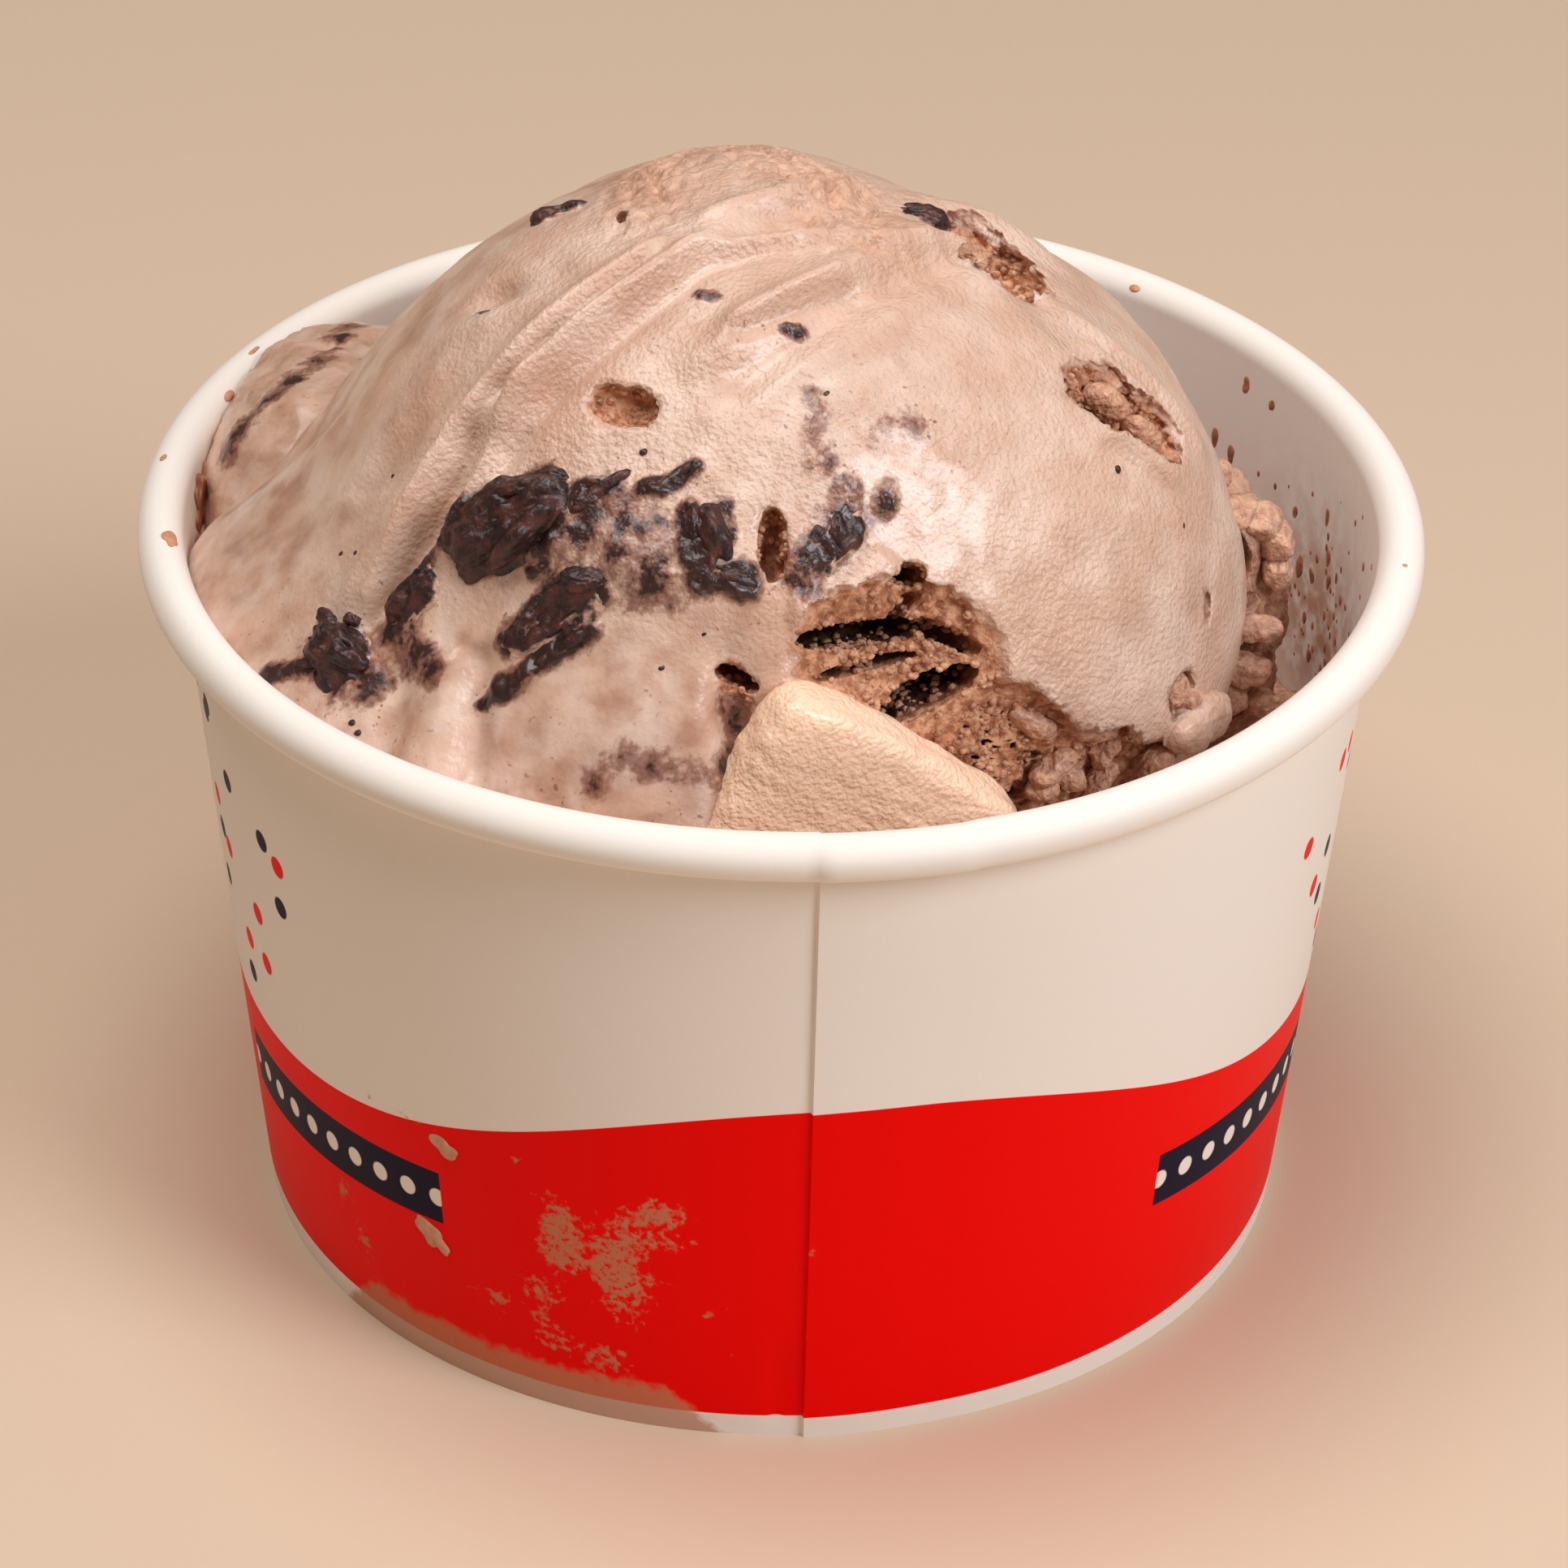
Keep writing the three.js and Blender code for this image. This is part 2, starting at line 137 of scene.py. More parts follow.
class Socket:
    """A socket of a shader node. Python's operators on it add Math nodes."""

    def __init__(self, tree, link=None):
        self.tree = tree
        self.link = link

    def node(self, kind, settings=None, inputs=None, output=0):
        made = self.tree.nodes.new("ShaderNode" + kind)
        for name, value in (settings or {}).items():
            setattr(made, name, value)
        for name, value in (inputs or {}).items():
            if isinstance(value, Socket):
                self.tree.links.new(value.link, made.inputs[name])
            else:
                made.inputs[name].default_value = value
        return Socket(self.tree, made.outputs[output] if made.outputs else None)

    def math(self, operation, *others):
        return self.node("Math", {"operation": operation}, dict(enumerate((self, *others))))

    def __add__(self, other):
        return self.math("ADD", other)

    def __sub__(self, other):
        return self.math("SUBTRACT", other)

    def __mul__(self, other):
        return self.math("MULTIPLY", other)

    def __truediv__(self, other):
        return self.math("DIVIDE", other)

    def __rsub__(self, other):
        return self * -1 + other

    __radd__ = __add__
    __rmul__ = __mul__

    def rises(self, low, high):
        """0 below low, 1 above high and smooth between them."""
        span = {"Value": self, "From Min": low, "From Max": high}
        return self.node("MapRange", {"interpolation_type": "SMOOTHSTEP"}, span)

    def mixed(self, first, second):
        """The colour first where this is 0, and second where it is 1."""
        return self.node("Mix", {"data_type": "RGBA"}, {0: self, 6: first, 7: second}, 2)

    def attribute(self, name):
        return self.node("Attribute", {"attribute_name": name}, output="Fac")

    def noise(self, size, detail=2, stretch=(1, 1, 1)):
        """Soft noise between 0 and 1 with bumps of a size in millimetres."""
        where = self.node("TexCoord", output="Object")
        scaled = self.node("Mapping", None, {"Vector": where, "Scale": stretch})
        settings = {"Vector": scaled, "Scale": 1 / (size * MM), "Detail": detail}
        return self.node("TexNoise", None, settings)

    def bump(self, height):
        """Normal of a surface raised by a height in millimetres."""
        return self.node("Bump", None, {"Height": height, "Distance": MM, "Strength": 1})

    def finish(self, **inputs):
        """Ends the material in a Principled shader. An input's name has _ for each space."""
        named = {name.replace("_", " ").title(): value for name, value in inputs.items()}
        named = {name.replace("Ior", "IOR"): value for name, value in named.items()}
        shader = self.node("BsdfPrincipled", None, named)
        self.node("OutputMaterial", None, {"Surface": shader})


def new_material(name):
    made = bpy.data.materials.new(name)
    made.use_nodes = True
    made.node_tree.nodes.clear()
    return made, Socket(made.node_tree)


def board_material():
    made, start = new_material("printed_board")
    sheet = start.node("UVMap", {"uv_map": "sheet"})
    up = start.node("SeparateXYZ", None, {0: sheet}, 1)
    outside = start.attribute("outside")
    band = start.attribute("under_band_top").rises(-0.05, 0.05)
    band = band * up.rises(FOOT_STRIPE - 0.05, FOOT_STRIPE + 0.05)
    colour = band.mixed(BOARD_WHITE, BOARD_RED)

    along = start.attribute("label_along")
    across = start.attribute("label_across").math("ABSOLUTE")
    half_length = (LABEL_TO - LABEL_FROM) / 2 * SHEET_SCALE
    label = 1 - across.rises(LABEL_HALF - 0.05, LABEL_HALF + 0.05)
    label = label * (1 - along.math("ABSOLUTE").rises(half_length - 0.05, half_length + 0.05))
    spacing = LABEL_DOT["spacing"]
    step = (along / spacing).math("FRACT") * spacing - spacing / 2
    from_dot = (step * step + across * across).math("SQRT")
    dot = 1 - from_dot.rises(LABEL_DOT["radius"] - 0.08, LABEL_DOT["radius"] + 0.08)
    colour = label.mixed(colour, dot.mixed(BOARD_NAVY, BOARD_WHITE))

    cells = {"Vector": sheet, "Scale": 1 / CONFETTI["size"]}
    flat = {"voronoi_dimensions": "2D"}
    spot = start.node("TexVoronoi", flat, cells, "Distance")
    tint = start.node("TexVoronoi", flat, cells, "Color")
    place = start.node("TexVoronoi", flat, cells, "Position")
    place_round = start.node("SeparateXYZ", None, {0: place}, 0)
    place_up = start.node("SeparateXYZ", None, {0: place}, 1)
    quarter = 90 * SHEET_SCALE
    from_side = ((place_round - 2 * quarter).math("ABSOLUTE") - quarter) / CONFETTI["half_width"]
    from_middle = (place_up - CONFETTI["height"]) / CONFETTI["half_height"]
    inside = 1 - (from_side * from_side + from_middle * from_middle).rises(0.998, 1.002)
    confetti = (1 - spot.rises(CONFETTI["radius"] - 0.015, CONFETTI["radius"] + 0.015)) * inside
    colour = confetti.mixed(colour, tint.rises(0.49, 0.51).mixed(BOARD_RED, BOARD_NAVY))

    dried = start.attribute("stain") * 0.8 + start.noise(0.6, 6) * 1.1 + start.noise(2.6, 3) * 0.6
    dried = dried.rises(1.22, 1.46) * start.noise(0.4, 4).rises(0.3, 0.5)
    foot = start.attribute("foot_stain") + start.noise(1.1, 5) * 2.2 - 1.1
    dried = dried.math("MAXIMUM", foot.rises(-0.2, 1.0) * 0.95)
    colour = (dried * 0.8).mixed(colour, DRIED)
    film = start.attribute("inner_film") * start.noise(1.6, 4).rises(0.3, 0.62)
    colour = outside.mixed(film.mixed(BOARD_WHITE, DRIED), colour)
    start.finish(
        base_color=colour,
        roughness=0.36 + start.noise(8, 2) * 0.1 + dried * outside * 0.3,
        normal=start.bump(start.noise(0.5, 3) * 0.008 + start.noise(3, 2) * 0.02 + dried * 0.05),
        specular_ior_level=0.05,
    )
    return made


def wall_outer(height):
    return FOOT_RADIUS + WALL_LEAN * height


def wall_inner(height):
    return wall_outer(height) - PAPER


def roll_arc(radius, steps):
    """Points round the middle of the rolled rim, from the wall over the top."""
    turns = [math.radians(180 - ROLL_TURN * i / steps) for i in range(steps + 1)]
    middle = (RIM_RADIUS - ROLL_RADIUS, TUB_HEIGHT - ROLL_RADIUS)
    return [(middle[0] + radius * math.cos(t), middle[1] + radius * math.sin(t)) for t in turns]


def azimuths(points):
    return np.degrees(np.arctan2(points[:, 1], points[:, 0])) % 360


def from_seam(azimuth):
    """Degrees round the wall from the seam to an azimuth."""
    return (azimuth - SEAM_AZIMUTH) % 360


def bowed(azimuth, height):
    """How far the thin wall bows out of its round shape. It is more so towards the top."""
    past = np.radians(from_seam(azimuth))
    bow = BOW["oval"] * np.sin(2 * past + 0.8) + BOW["five_sided"] * np.sin(5 * past)
    bow = bow - BOW["inwards"]
    return bow * np.clip(height / TUB_HEIGHT, 0, 1) ** 2


def smooth_step(low, high, value):
    t = np.clip((value - low) / (high - low), 0, 1)
    return t * t * (3 - 2 * t)


def places(bm):
    return np.array([vert.co for vert in bm.verts])


def move_to(bm, points):
    for vert, point in zip(bm.verts, points):
        vert.co = point


def paint(mesh, **values):
    """Keeps one number for each vertex under each name, for the material to read."""
    for name, numbers in values.items():
        layer = mesh.attributes.new(name, "FLOAT", "POINT")
        layer.data.foreach_set("value", np.broadcast_to(numbers, len(mesh.vertices)).astype(np.float32))


def mesh_points(mesh):
    flat = np.zeros(3 * len(mesh.vertices), np.float32)
    mesh.vertices.foreach_get("co", flat)
    return flat.reshape(-1, 3).astype(float)


def as_mesh(name, bm):
    made = bpy.data.meshes.new(name)
    bm.to_mesh(made)
    bm.free()
    return made


def finish_piece(mesh, material, slot, *nodes):
    """Smooth shaded piece of the cup, in metres, in place of the plain nodes."""
    mesh.transform(Matrix.Scale(MM, 4))
    mesh.shade_smooth()
    mesh.materials.clear()
    mesh.materials.append(material)
    made = bpy.data.objects.new(mesh.name, mesh)
    bpy.context.scene.collection.objects.link(made)
    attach(made, "root")
    if nodes:
        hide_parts(*nodes)
    return made


def tub_wall():
    rows = np.linspace(0, TUB_HEIGHT - ROLL_RADIUS, WALL_ROWS)
    outside = [(wall_outer(row), row) for row in rows[:-1]]
    inside = [(wall_inner(row), row) for row in rows[::-1][1:-1]]
    skirt = wall_inner(HEM_HEIGHT) - SKIRT_SLOT
    profile = [
        *outside,
        *roll_arc(ROLL_RADIUS - PAPER, ROLL_STEPS),
        *reversed(roll_arc(ROLL_RADIUS, ROLL_STEPS)),
        *inside,
        (wall_inner(PAPER), PAPER),
        (wall_inner(PAPER) - SKIRT_SLOT, PAPER),
        (skirt, HEM_HEIGHT),
        (skirt - PAPER, HEM_HEIGHT),
        (wall_inner(0) - SKIRT_SLOT - PAPER, 0),
    ]
    bm = bmesh.new()
    ring = [bm.verts.new((radius, 0, height)) for radius, height in profile]
    loop = [bm.edges.new(pair) for pair in zip(ring, ring[1:] + ring[:1])]
    sweep = math.radians(360 - SEAM_SLIVER)
    around = {"cent": (0, 0, 0), "axis": (0, 0, 1)}
    spun = bmesh.ops.spin(bm, geom=ring + loop, angle=sweep, steps=ROUND_STEPS, **around)
    last = [edge for edge in spun["geom_last"] if isinstance(edge, bmesh.types.BMEdge)]
    bmesh.ops.bridge_loops(bm, edges=loop + last)
    turn = Matrix.Rotation(math.radians(SEAM_AZIMUTH), 3, "Z")
    bmesh.ops.rotate(bm, cent=(0, 0, 0), matrix=turn, verts=bm.verts)
    bmesh.ops.recalc_face_normals(bm, faces=bm.faces)

    points = places(bm)
    radius = np.hypot(points[:, 0], points[:, 1])
    height = points[:, 2]
    azimuth = azimuths(points)
    past = from_seam(azimuth + 1e-4)
    on_wall = (radius > wall_outer(height) - 0.05) & (height < TUB_HEIGHT - 2 * ROLL_RADIUS)
    on_roll = (height > TUB_HEIGHT - 2.3 * ROLL_RADIUS) & (radius > wall_inner(height) - 0.01)
    grown = np.where(on_wall & (past < SEAM_LAP), SEAM_STEP * (1 - past / SEAM_LAP), 0)
    grown = grown + np.where(on_roll & (past < SEAM_LAP), RIM_STEP, 0)
    near = (azimuth - DENT["azimuth"]) * SHEET_SCALE / DENT["width"]
    tall = 1 - np.abs(2 * height - DENT["low"] - DENT["high"]) / (DENT["high"] - DENT["low"])
    grown = grown - np.where(on_wall, DENT["depth"] * np.exp(-near**2) * np.clip(3 * tall, 0, 1), 0)
    grown = grown + bowed(azimuth, height)
    points[:, :2] *= (1 + grown / radius)[:, None]
    move_to(bm, points)

    made = as_mesh("tub_wall_sheet", bm)
    away = np.abs((past + 90) % 180 - 90)
    from_middle = np.abs((azimuth - BAND_MIDDLE + 90) % 180 - 90)
    band_top = BAND_SIDE + BAND_RISE * np.exp(-((from_middle / BAND_WIDTH) ** 2.3))
    label_middle = LABEL_HEIGHT - LABEL_DROP * (away - LABEL_FROM) / (LABEL_TO - LABEL_FROM)
    stain = np.zeros(len(points))
    for at, up, half_round, half_up, strength in STAINS:
        side = (azimuth - at) * SHEET_SCALE / half_round
        stain = np.maximum(stain, strength * np.exp(-0.5 * (side**2 + ((height - up) / half_up) ** 2)))
    foot = smooth_step(FOOT_STAIN["from"], FOOT_STAIN["from"] + FOOT_STAIN["fade"], azimuth)
    foot = foot * smooth_step(FOOT_STAIN["to"], FOOT_STAIN["to"] - FOOT_STAIN["fade"], azimuth)
    round_film = ((azimuth - INNER_BROWN_PATCH["azimuth"] + 180) % 360 - 180) / INNER_BROWN_PATCH["half_round"]
    up_film = (height - INNER_BROWN_PATCH["height"]) / INNER_BROWN_PATCH["half_up"]
    paint(
        made,
        outside=on_wall,
        inner_film=INNER_BROWN_PATCH["strength"] * np.exp(-0.5 * (round_film**2 + up_film**2)),
        under_band_top=band_top - height,
        label_along=(away - (LABEL_FROM + LABEL_TO) / 2) * SHEET_SCALE,
        label_across=height - label_middle,
        stain=stain,
        foot_stain=np.where(foot > 0, FOOT_STAIN["height"] * foot - height, -9),
    )
    corners = np.zeros(len(made.loops), np.int32)
    made.loops.foreach_get("vertex_index", corners)
    sheet = np.stack([past * SHEET_SCALE, height], axis=1)[corners]
    made.uv_layers.new(name="sheet").data.foreach_set("uv", sheet.astype(np.float32).ravel())
    return made


board = board_material()
wall_mesh = tub_wall()
finish_piece(wall_mesh, board, "board", "tub_wall")
wall_mesh.set_sharp_from_angle(angle=CREASE_ANGLE)

# Tub base. A disc of the same board, set up inside the foot, with its edge turned down into the
# wall's fold. It is plain and unprinted.
RECESS = 6.5
SKIRT_GAP = 0.3
DISC_STEPS = 144


def tub_base():
    def skirt(height):
        return wall_inner(height) - SKIRT_GAP

    bottom = PAPER + SKIRT_GAP
    profile = [
        (0, RECESS),
        (skirt(RECESS) - 3 * PAPER, RECESS),
        (skirt(RECESS) - PAPER, RECESS - PAPER),
        (skirt(bottom) - PAPER, bottom),
        (skirt(bottom), bottom),
        (skirt(RECESS), RECESS),
        (skirt(RECESS) - 2 * PAPER, RECESS + PAPER),
        (0, RECESS + PAPER),
    ]
    bm = bmesh.new()
    ring = [bm.verts.new((radius, 0, height)) for radius, height in profile]
    edges = [bm.edges.new(pair) for pair in zip(ring, ring[1:])]
    full = {"angle": math.tau, "steps": DISC_STEPS, "use_merge": True}
    bmesh.ops.spin(bm, geom=ring + edges, cent=(0, 0, 0), axis=(0, 0, 1), **full)
    bmesh.ops.remove_doubles(bm, verts=bm.verts, dist=1e-4)
    bmesh.ops.recalc_face_normals(bm, faces=bm.faces)
    return as_mesh("tub_base_disc", bm)


base_mesh = tub_base()
base_mesh.uv_layers.new(name="sheet")
finish_piece(base_mesh, board, "board", "tub_base")
base_mesh.set_sharp_from_angle(angle=CREASE_ANGLE)

# Gelato bed. The gelato that was packed in first fills the tub up to a rough level top, and the
# scoop is pressed into it. It shows in the gap round the scoop.
SKIN_LIGHT = srgb(227, 196, 177)
SKIN_MIDDLE = srgb(214, 175, 152)
SKIN_BROWN = srgb(172, 122, 96)
# Painted light: a paler skin that makes the slab's front look lit.
SKIN_PAINTED_LIT = srgb(255, 214, 184)
MILK = srgb(236, 218, 208)
CRUMB_LIGHT = srgb(224, 168, 132)
CRUMB_DARK = srgb(164, 104, 72)
# Painted shade: the dark brown that torn crumb turns to deep in the tears, also used evenly for the
# right lump's darker brown.
CRUMB_SHADE_BROWN = srgb(74, 38, 26)
COCOA_RED = srgb(122, 66, 48)
COCOA_DARK = srgb(46, 23, 22)
BED_LEVEL = 33
BED_STEPS = 120
BED_FLOOR = RECESS + PAPER + 0.3
BED_GAP = 0.35  # between the gelato's edge and the wall


def gelato_material():
    """Chocolate gelato. The vertices say where it is torn, melted or smeared with fudge, and where
    shade and light are painted on it.
    """
    made, start = new_material("gelato")
    torn = start.attribute("torn")
    melted = start.attribute("melted")
    wet = start.attribute("wet")
    dusty = start.attribute("dusty")

    skin = start.noise(6, 3).rises(0.35, 0.65).mixed(SKIN_MIDDLE, SKIN_LIGHT)
    brown = start.noise(3.8, 6).rises(0.36, 0.74) * (melted * 0.8 + 0.2)
    skin = brown.mixed(skin, SKIN_BROWN)
    streaks = start.noise(3.6, 6, stretch=(1, 1, 0.4)).rises(0.46, 0.7)
    skin = (streaks * (melted * 0.5)).mixed(skin, MILK)
    skin = (start.noise(1.6, 4).rises(0.4, 0.6) * wet * 0.3).mixed(skin, MILK)
    crumb = start.noise(0.8, 4).rises(0.35, 0.65).mixed(CRUMB_DARK, CRUMB_LIGHT)
    # Where marked, the skin is painted paler, as painted light on the slab's front.
    skin = start.attribute("pale").mixed(skin, SKIN_PAINTED_LIT)
    # Torn crumb is mixed towards that dark brown by a painted share: painted shade deep in the tears,
    # and an even darker brown on the right lump.
    colour = torn.mixed(skin, start.attribute("deep").mixed(crumb, CRUMB_SHADE_BROWN))

    film = start.noise(1.8, 5, stretch=(1, 1, 0.6)) * 1.2 + start.noise(0.45, 3) * 0.5 - 0.85
    smeared = start.attribute("cocoa")
    ragged = smeared + film * smeared.rises(0.02, 0.3)
    colour = (ragged.rises(0.22, 0.5) * 0.75).mixed(colour, COCOA_RED)
    dark = ragged.rises(0.48, 0.72)
    colour = (dark * 0.95).mixed(colour, COCOA_DARK)
    dust = start.noise(0.5, 3).rises(0.63, 0.72) * start.noise(5, 3).rises(0.4, 0.6) * dusty
    colour = (dust * 0.8).mixed(colour, COCOA_RED)

    frost = start.attribute("frosty")
    grain = (start.noise(0.4, 1) * 0.2 + start.noise(0.8, 3) * 0.06) * frost
    soft = start.noise(1.7, 3) * 0.12
    bubbles = start.noise(0.45, 2) * 0.15 * wet
    crumbs = (start.noise(0.4, 3) * 0.25 + start.noise(1.0, 3) * 0.45) * torn
    made_rough = 0.36 - melted * 0.1 - wet * 0.08 + torn * 0.34 + start.noise(3, 2) * 0.08
    start.finish(
        base_color=colour,
        roughness=made_rough,
        normal=start.bump(grain + soft + bubbles + crumbs),
        ior=1.42,
        coat_weight=melted * 0.4 + wet * 0.25 + frost * 0.35,
        coat_roughness=0.2,
        subsurface_weight=0.18,
        subsurface_radius=(1.0, 0.5, 0.3),
        subsurface_scale=0.0012,
    )
    return made


def wobble(points, size):
    """Smooth wobble between -1 and 1 that repeats nowhere near by, as the plain solids have."""
    x, y, z = (points / size).T
    a = np.sin(2.1 * x + 1.7 * np.sin(1.3 * y + 0.5))
    b = np.sin(1.9 * y + 1.3 * np.sin(1.1 * z + 1.2))
    c = np.sin(2.3 * z + 1.5 * np.sin(1.2 * x + 2.4))
    return (a + b + c) / 3


def ripple(points, size, octaves=1):
    """Uneven bumps of a size, finer ones over them, between about -1 and 1."""
    return np.array([noise.fractal(Vector(p), 0.9, 2.0, octaves) for p in points / size])


def gelato_bed():
    bm = bmesh.new()
    bmesh.ops.create_grid(bm, x_segments=BED_STEPS, y_segments=BED_STEPS, size=1)
    x, y, _ = places(bm).T
    edge = wall_inner(BED_LEVEL) - BED_GAP
    flat = np.stack([x * np.sqrt(1 - y**2 / 2), y * np.sqrt(1 - x**2 / 2), 0 * x], axis=1) * edge
    uneven = 0.9 * (wobble(flat, 9) - 1) + 0.9 * ripple(flat, 3.2, 3) + 0.3 * ripple(flat, 0.9, 3)
    near_wall = smooth_step(0.88, 1, np.hypot(flat[:, 0], flat[:, 1]) / edge)
    flat[:, 2] = BED_LEVEL + uneven + 0.9 * near_wall
    move_to(bm, flat)
    walls = bmesh.ops.extrude_face_region(bm, geom=bm.faces[:])["geom"]
    shrink = wall_inner(BED_FLOOR) / wall_inner(BED_LEVEL)
    for vert in walls:
        if isinstance(vert, bmesh.types.BMVert):
            vert.co = (vert.co.x * shrink, vert.co.y * shrink, BED_FLOOR)
    bmesh.ops.recalc_face_normals(bm, faces=bm.faces)
    made = as_mesh("gelato_bed_packed", bm)
    paint(made, torn=0.8, melted=0.25, cocoa=0.1, dusty=0.5)
    return made


gelato = gelato_material()
finish_piece(gelato_bed(), gelato, "gelato", "gelato_bed")

# Scoop. One large ball of gelato, dragged round by the scoop's edge, which left ridges. It tore
# open in front and under its lip, and its left side has melted down onto the tub's wall.
SCOOP_CENTRE = np.array((-2, -2, 51))
SCOOP_RADIUS = 34
SCOOP_BOTTOM = 28
BOTTOM_BULGE = 0.12
WALL_GAP = 0.3
FRONT = np.array((0, -0.64, 0.77))  # the side that the finer faces are on
FRONT_REACH = 0.35
SCOOP_DETAIL = 7
SCOOP_KEPT = 0.66  # share of its faces left once the flattest are merged

# Swellings and hollows: azimuth, elevation, turn, half length, half width, height, and how many
# times wider the lower half is.
SWELLINGS = [
    (90, 54, 0, 24, 14, -1.1, 1),
    (145, 45, 0, 10, 12, -2.5, 1),
    (50, 52, 0, 9, 10, -2, 1),
    (0, 62, 0, 13, 10, -1.4, 1),
    (352, 2, 0, 14, 12, 2.2, 1),
    (194, -4, 0, 18, 5.8, 9, 3),
    (232, -10, 0, 12, 6, 6, 2.6),
    (256, 6, 20, 5, 6, 2.6, 1),
    (257, 31, -6, 10, 2.6, 1, 1),
]
# Ridges that the scoop dragged up: two spots as azimuth and elevation, width and height.
DRAG_RIDGES = [
    ((215, 14), (222, 44), 1.5, 1.2),
    ((222, 40), (240, 72), 1.5, 1.2),
    ((258, 55), (352, 66), 1.6, 1.0),
    ((240, 74), (20, 76), 1.5, 0.7),
]
FINE_RIDGES = [
    ((218, 15), (218, 41), 0.8, 0.7),
    ((218, 38), (232, 73), 0.8, 0.75),
    ((226, 27), (227.5, 50), 0.8, 0.7),
    ((227.5, 47), (250, 75), 0.9, 0.9),
    ((222, 24), (222.5, 48), 1.0, -0.8),
    ((222.5, 45), (239, 71), 0.8, -0.6),
    ((214, 16), (214.5, 44), 0.7, 0.35),
    ((210, 18), (213, 40), 1.2, 0.25),
    ((203, 20), (206, 46), 1.6, 0.35),
    ((240, 71), (331, 70), 0.8, 0.55),
    ((262, 61), (300, 68), 0.7, 0.8),
    ((350, 66), (354, 50), 0.9, 0.8),
    ((268, 51), (345, 59), 0.9, 0.2),
    ((232, 77), (330, 82), 0.7, 0.35),
    ((250, 73), (320, 75), 0.6, 0.3),
    ((275, 27), (284, 25.5), 1.4, 0.9),
    ((283, 25.5), (290, 31.5), 1.2, 0.9),
    ((230, 16), (234, 3), 1.3, 0.6),
    ((236, 17), (240, 3), 1.0, -0.9),
    ((334, 36), (342, 24), 0.7, 0.5),
    ((346, 44), (350, 25), 0.8, 0.4),
    ((352, 48), (355, 22), 0.8, 0.3),
]
FINE_SPOTS = [
    (202, 54, 60, 1.6, 0.9, -1.1, 1),
    (206, 50, 40, 2.8, 1.3, 0.5, 1),
    (263, 14, 60, 3.0, 1.8, 0.7, 1),
    (186, 20, 70, 9.0, 1.6, 0.5, 1),
    (176, 12, 60, 8.0, 1.3, -0.5, 1),
    (250, 7, 0, 5.0, 2.5, -0.5, 1),
    (341, 61, 80, 5.0, 1.3, 0.8, 1),
    (17, 58, 80, 4.5, 1.6, 1.2, 1),
    (318, 6, -30, 8.0, 2.0, 0.6, 1),
    (268.6, 12.8, 97, 3.0, 0.9, -2.4, 1),
]
GLOSSY_PATCH = (289, 42, -30, 6.4, 5.0, 1, 1)
RAGGED_CREST = [(30, 83, 0, 9, 3.2, 1, 1), (168, 76, 10, 6, 2.2, 1, 1)]

# Where the gelato tore, and so is missing: azimuth, elevation, turn, half sizes along, across and
# outwards, how far it stands proud of the surface, the detail of its mesh and its ragged edge.
TEARS = [
    (289, 20, -14, (8.0, 5.0, 2.3), 2.3, 6, 0.6),
    (284, 22.8, -2, (5.2, 1.1, 5.0), 1.4, 6, 0.4),
    (297, 20.5, -34, (2.6, 0.8, 3.0), 1.0, 5, 0.3),
    (290.5, 24.5, 40, (2.2, 0.6, 2.6), 0.8, 5, 0.3),
    (285, 18.6, 4, (4.2, 0.5, 3.0), 0.4, 5, 0.3),
    (292, 13.4, 17, (6.2, 1.5, 8.0), 0.6, 6, 0.45),
    (292, 29.5, -15, (1.5, 0.9, 2.6), 0.6, 5, 0.25),
    (299, 4.5, -33, (9.5, 6.2, 1.9), 1.9, 6, 0.5),
    (313, -6, -30, (11.5, 6.4, 3.0), 3.0, 6, 0.9),
    (246, 49, 0, (2.6, 1.6, 2.0), 2.0, 5, 0.35),
    (341.8, 34.5, -62, (6.6, 2.8, 2.6), 2.6, 6, 0.9),
    (337.5, 38.5, -56, (3.6, 1.1, 4.4), 1.2, 5, 0.5),
    (344, 27, -50, (2.4, 0.8, 2.4), 0.8, 5, 0.3),
    (272.9, 34.0, 86, (2.7, 1.15, 2.4), 1.2, 5, 0.3),
    (268.5, 18.6, -26, (1.9, 0.8, 2.6), 1.0, 5, 0.12),
    (0, 58.5, 78, (5.0, 3.6, 2.4), 1.8, 6, 0.7),
    (201, 72, 0, (0.8, 0.5, 1.0), 0.4, 3, 0.1),
    (206, 51, 30, (1.2, 0.6, 0.5), 0.3, 4, 0.2),
    (338, 9.4, 60, (1.3, 0.6, 1.4), 0.5, 4, 0.2),
    (329.5, 2.5, 20, (2.0, 1.6, 1.5), 1.0, 5, 0.3),
]
# Small holes in the torn layer under the lip.
PORES = {"count": 120, "azimuth": (288, 309), "elevation": (-7, 10), "size": (0.18, 0.5)}
PORES |= {"turn": -8, "half_depth": 2.2, "proud": -1.2}


def direction(azimuth, elevation):
    """Unit vector from the scoop's centre."""
    across, up = math.radians(azimuth), math.radians(elevation)
    return np.array((math.cos(up) * math.cos(across), math.cos(up) * math.sin(across), math.sin(up)))


def spot_axes(azimuth, elevation, turn):
    """Axes along, across and out of the scoop's surface. turn goes from level to upwards."""
    outward = direction(azimuth, elevation)
    east = np.array((-math.sin(math.radians(azimuth)), math.cos(math.radians(azimuth)), 0))
    north = np.cross(outward, east)
    along = east * math.cos(math.radians(turn)) + north * math.sin(math.radians(turn))
    return np.array((along, np.cross(outward, along), outward))


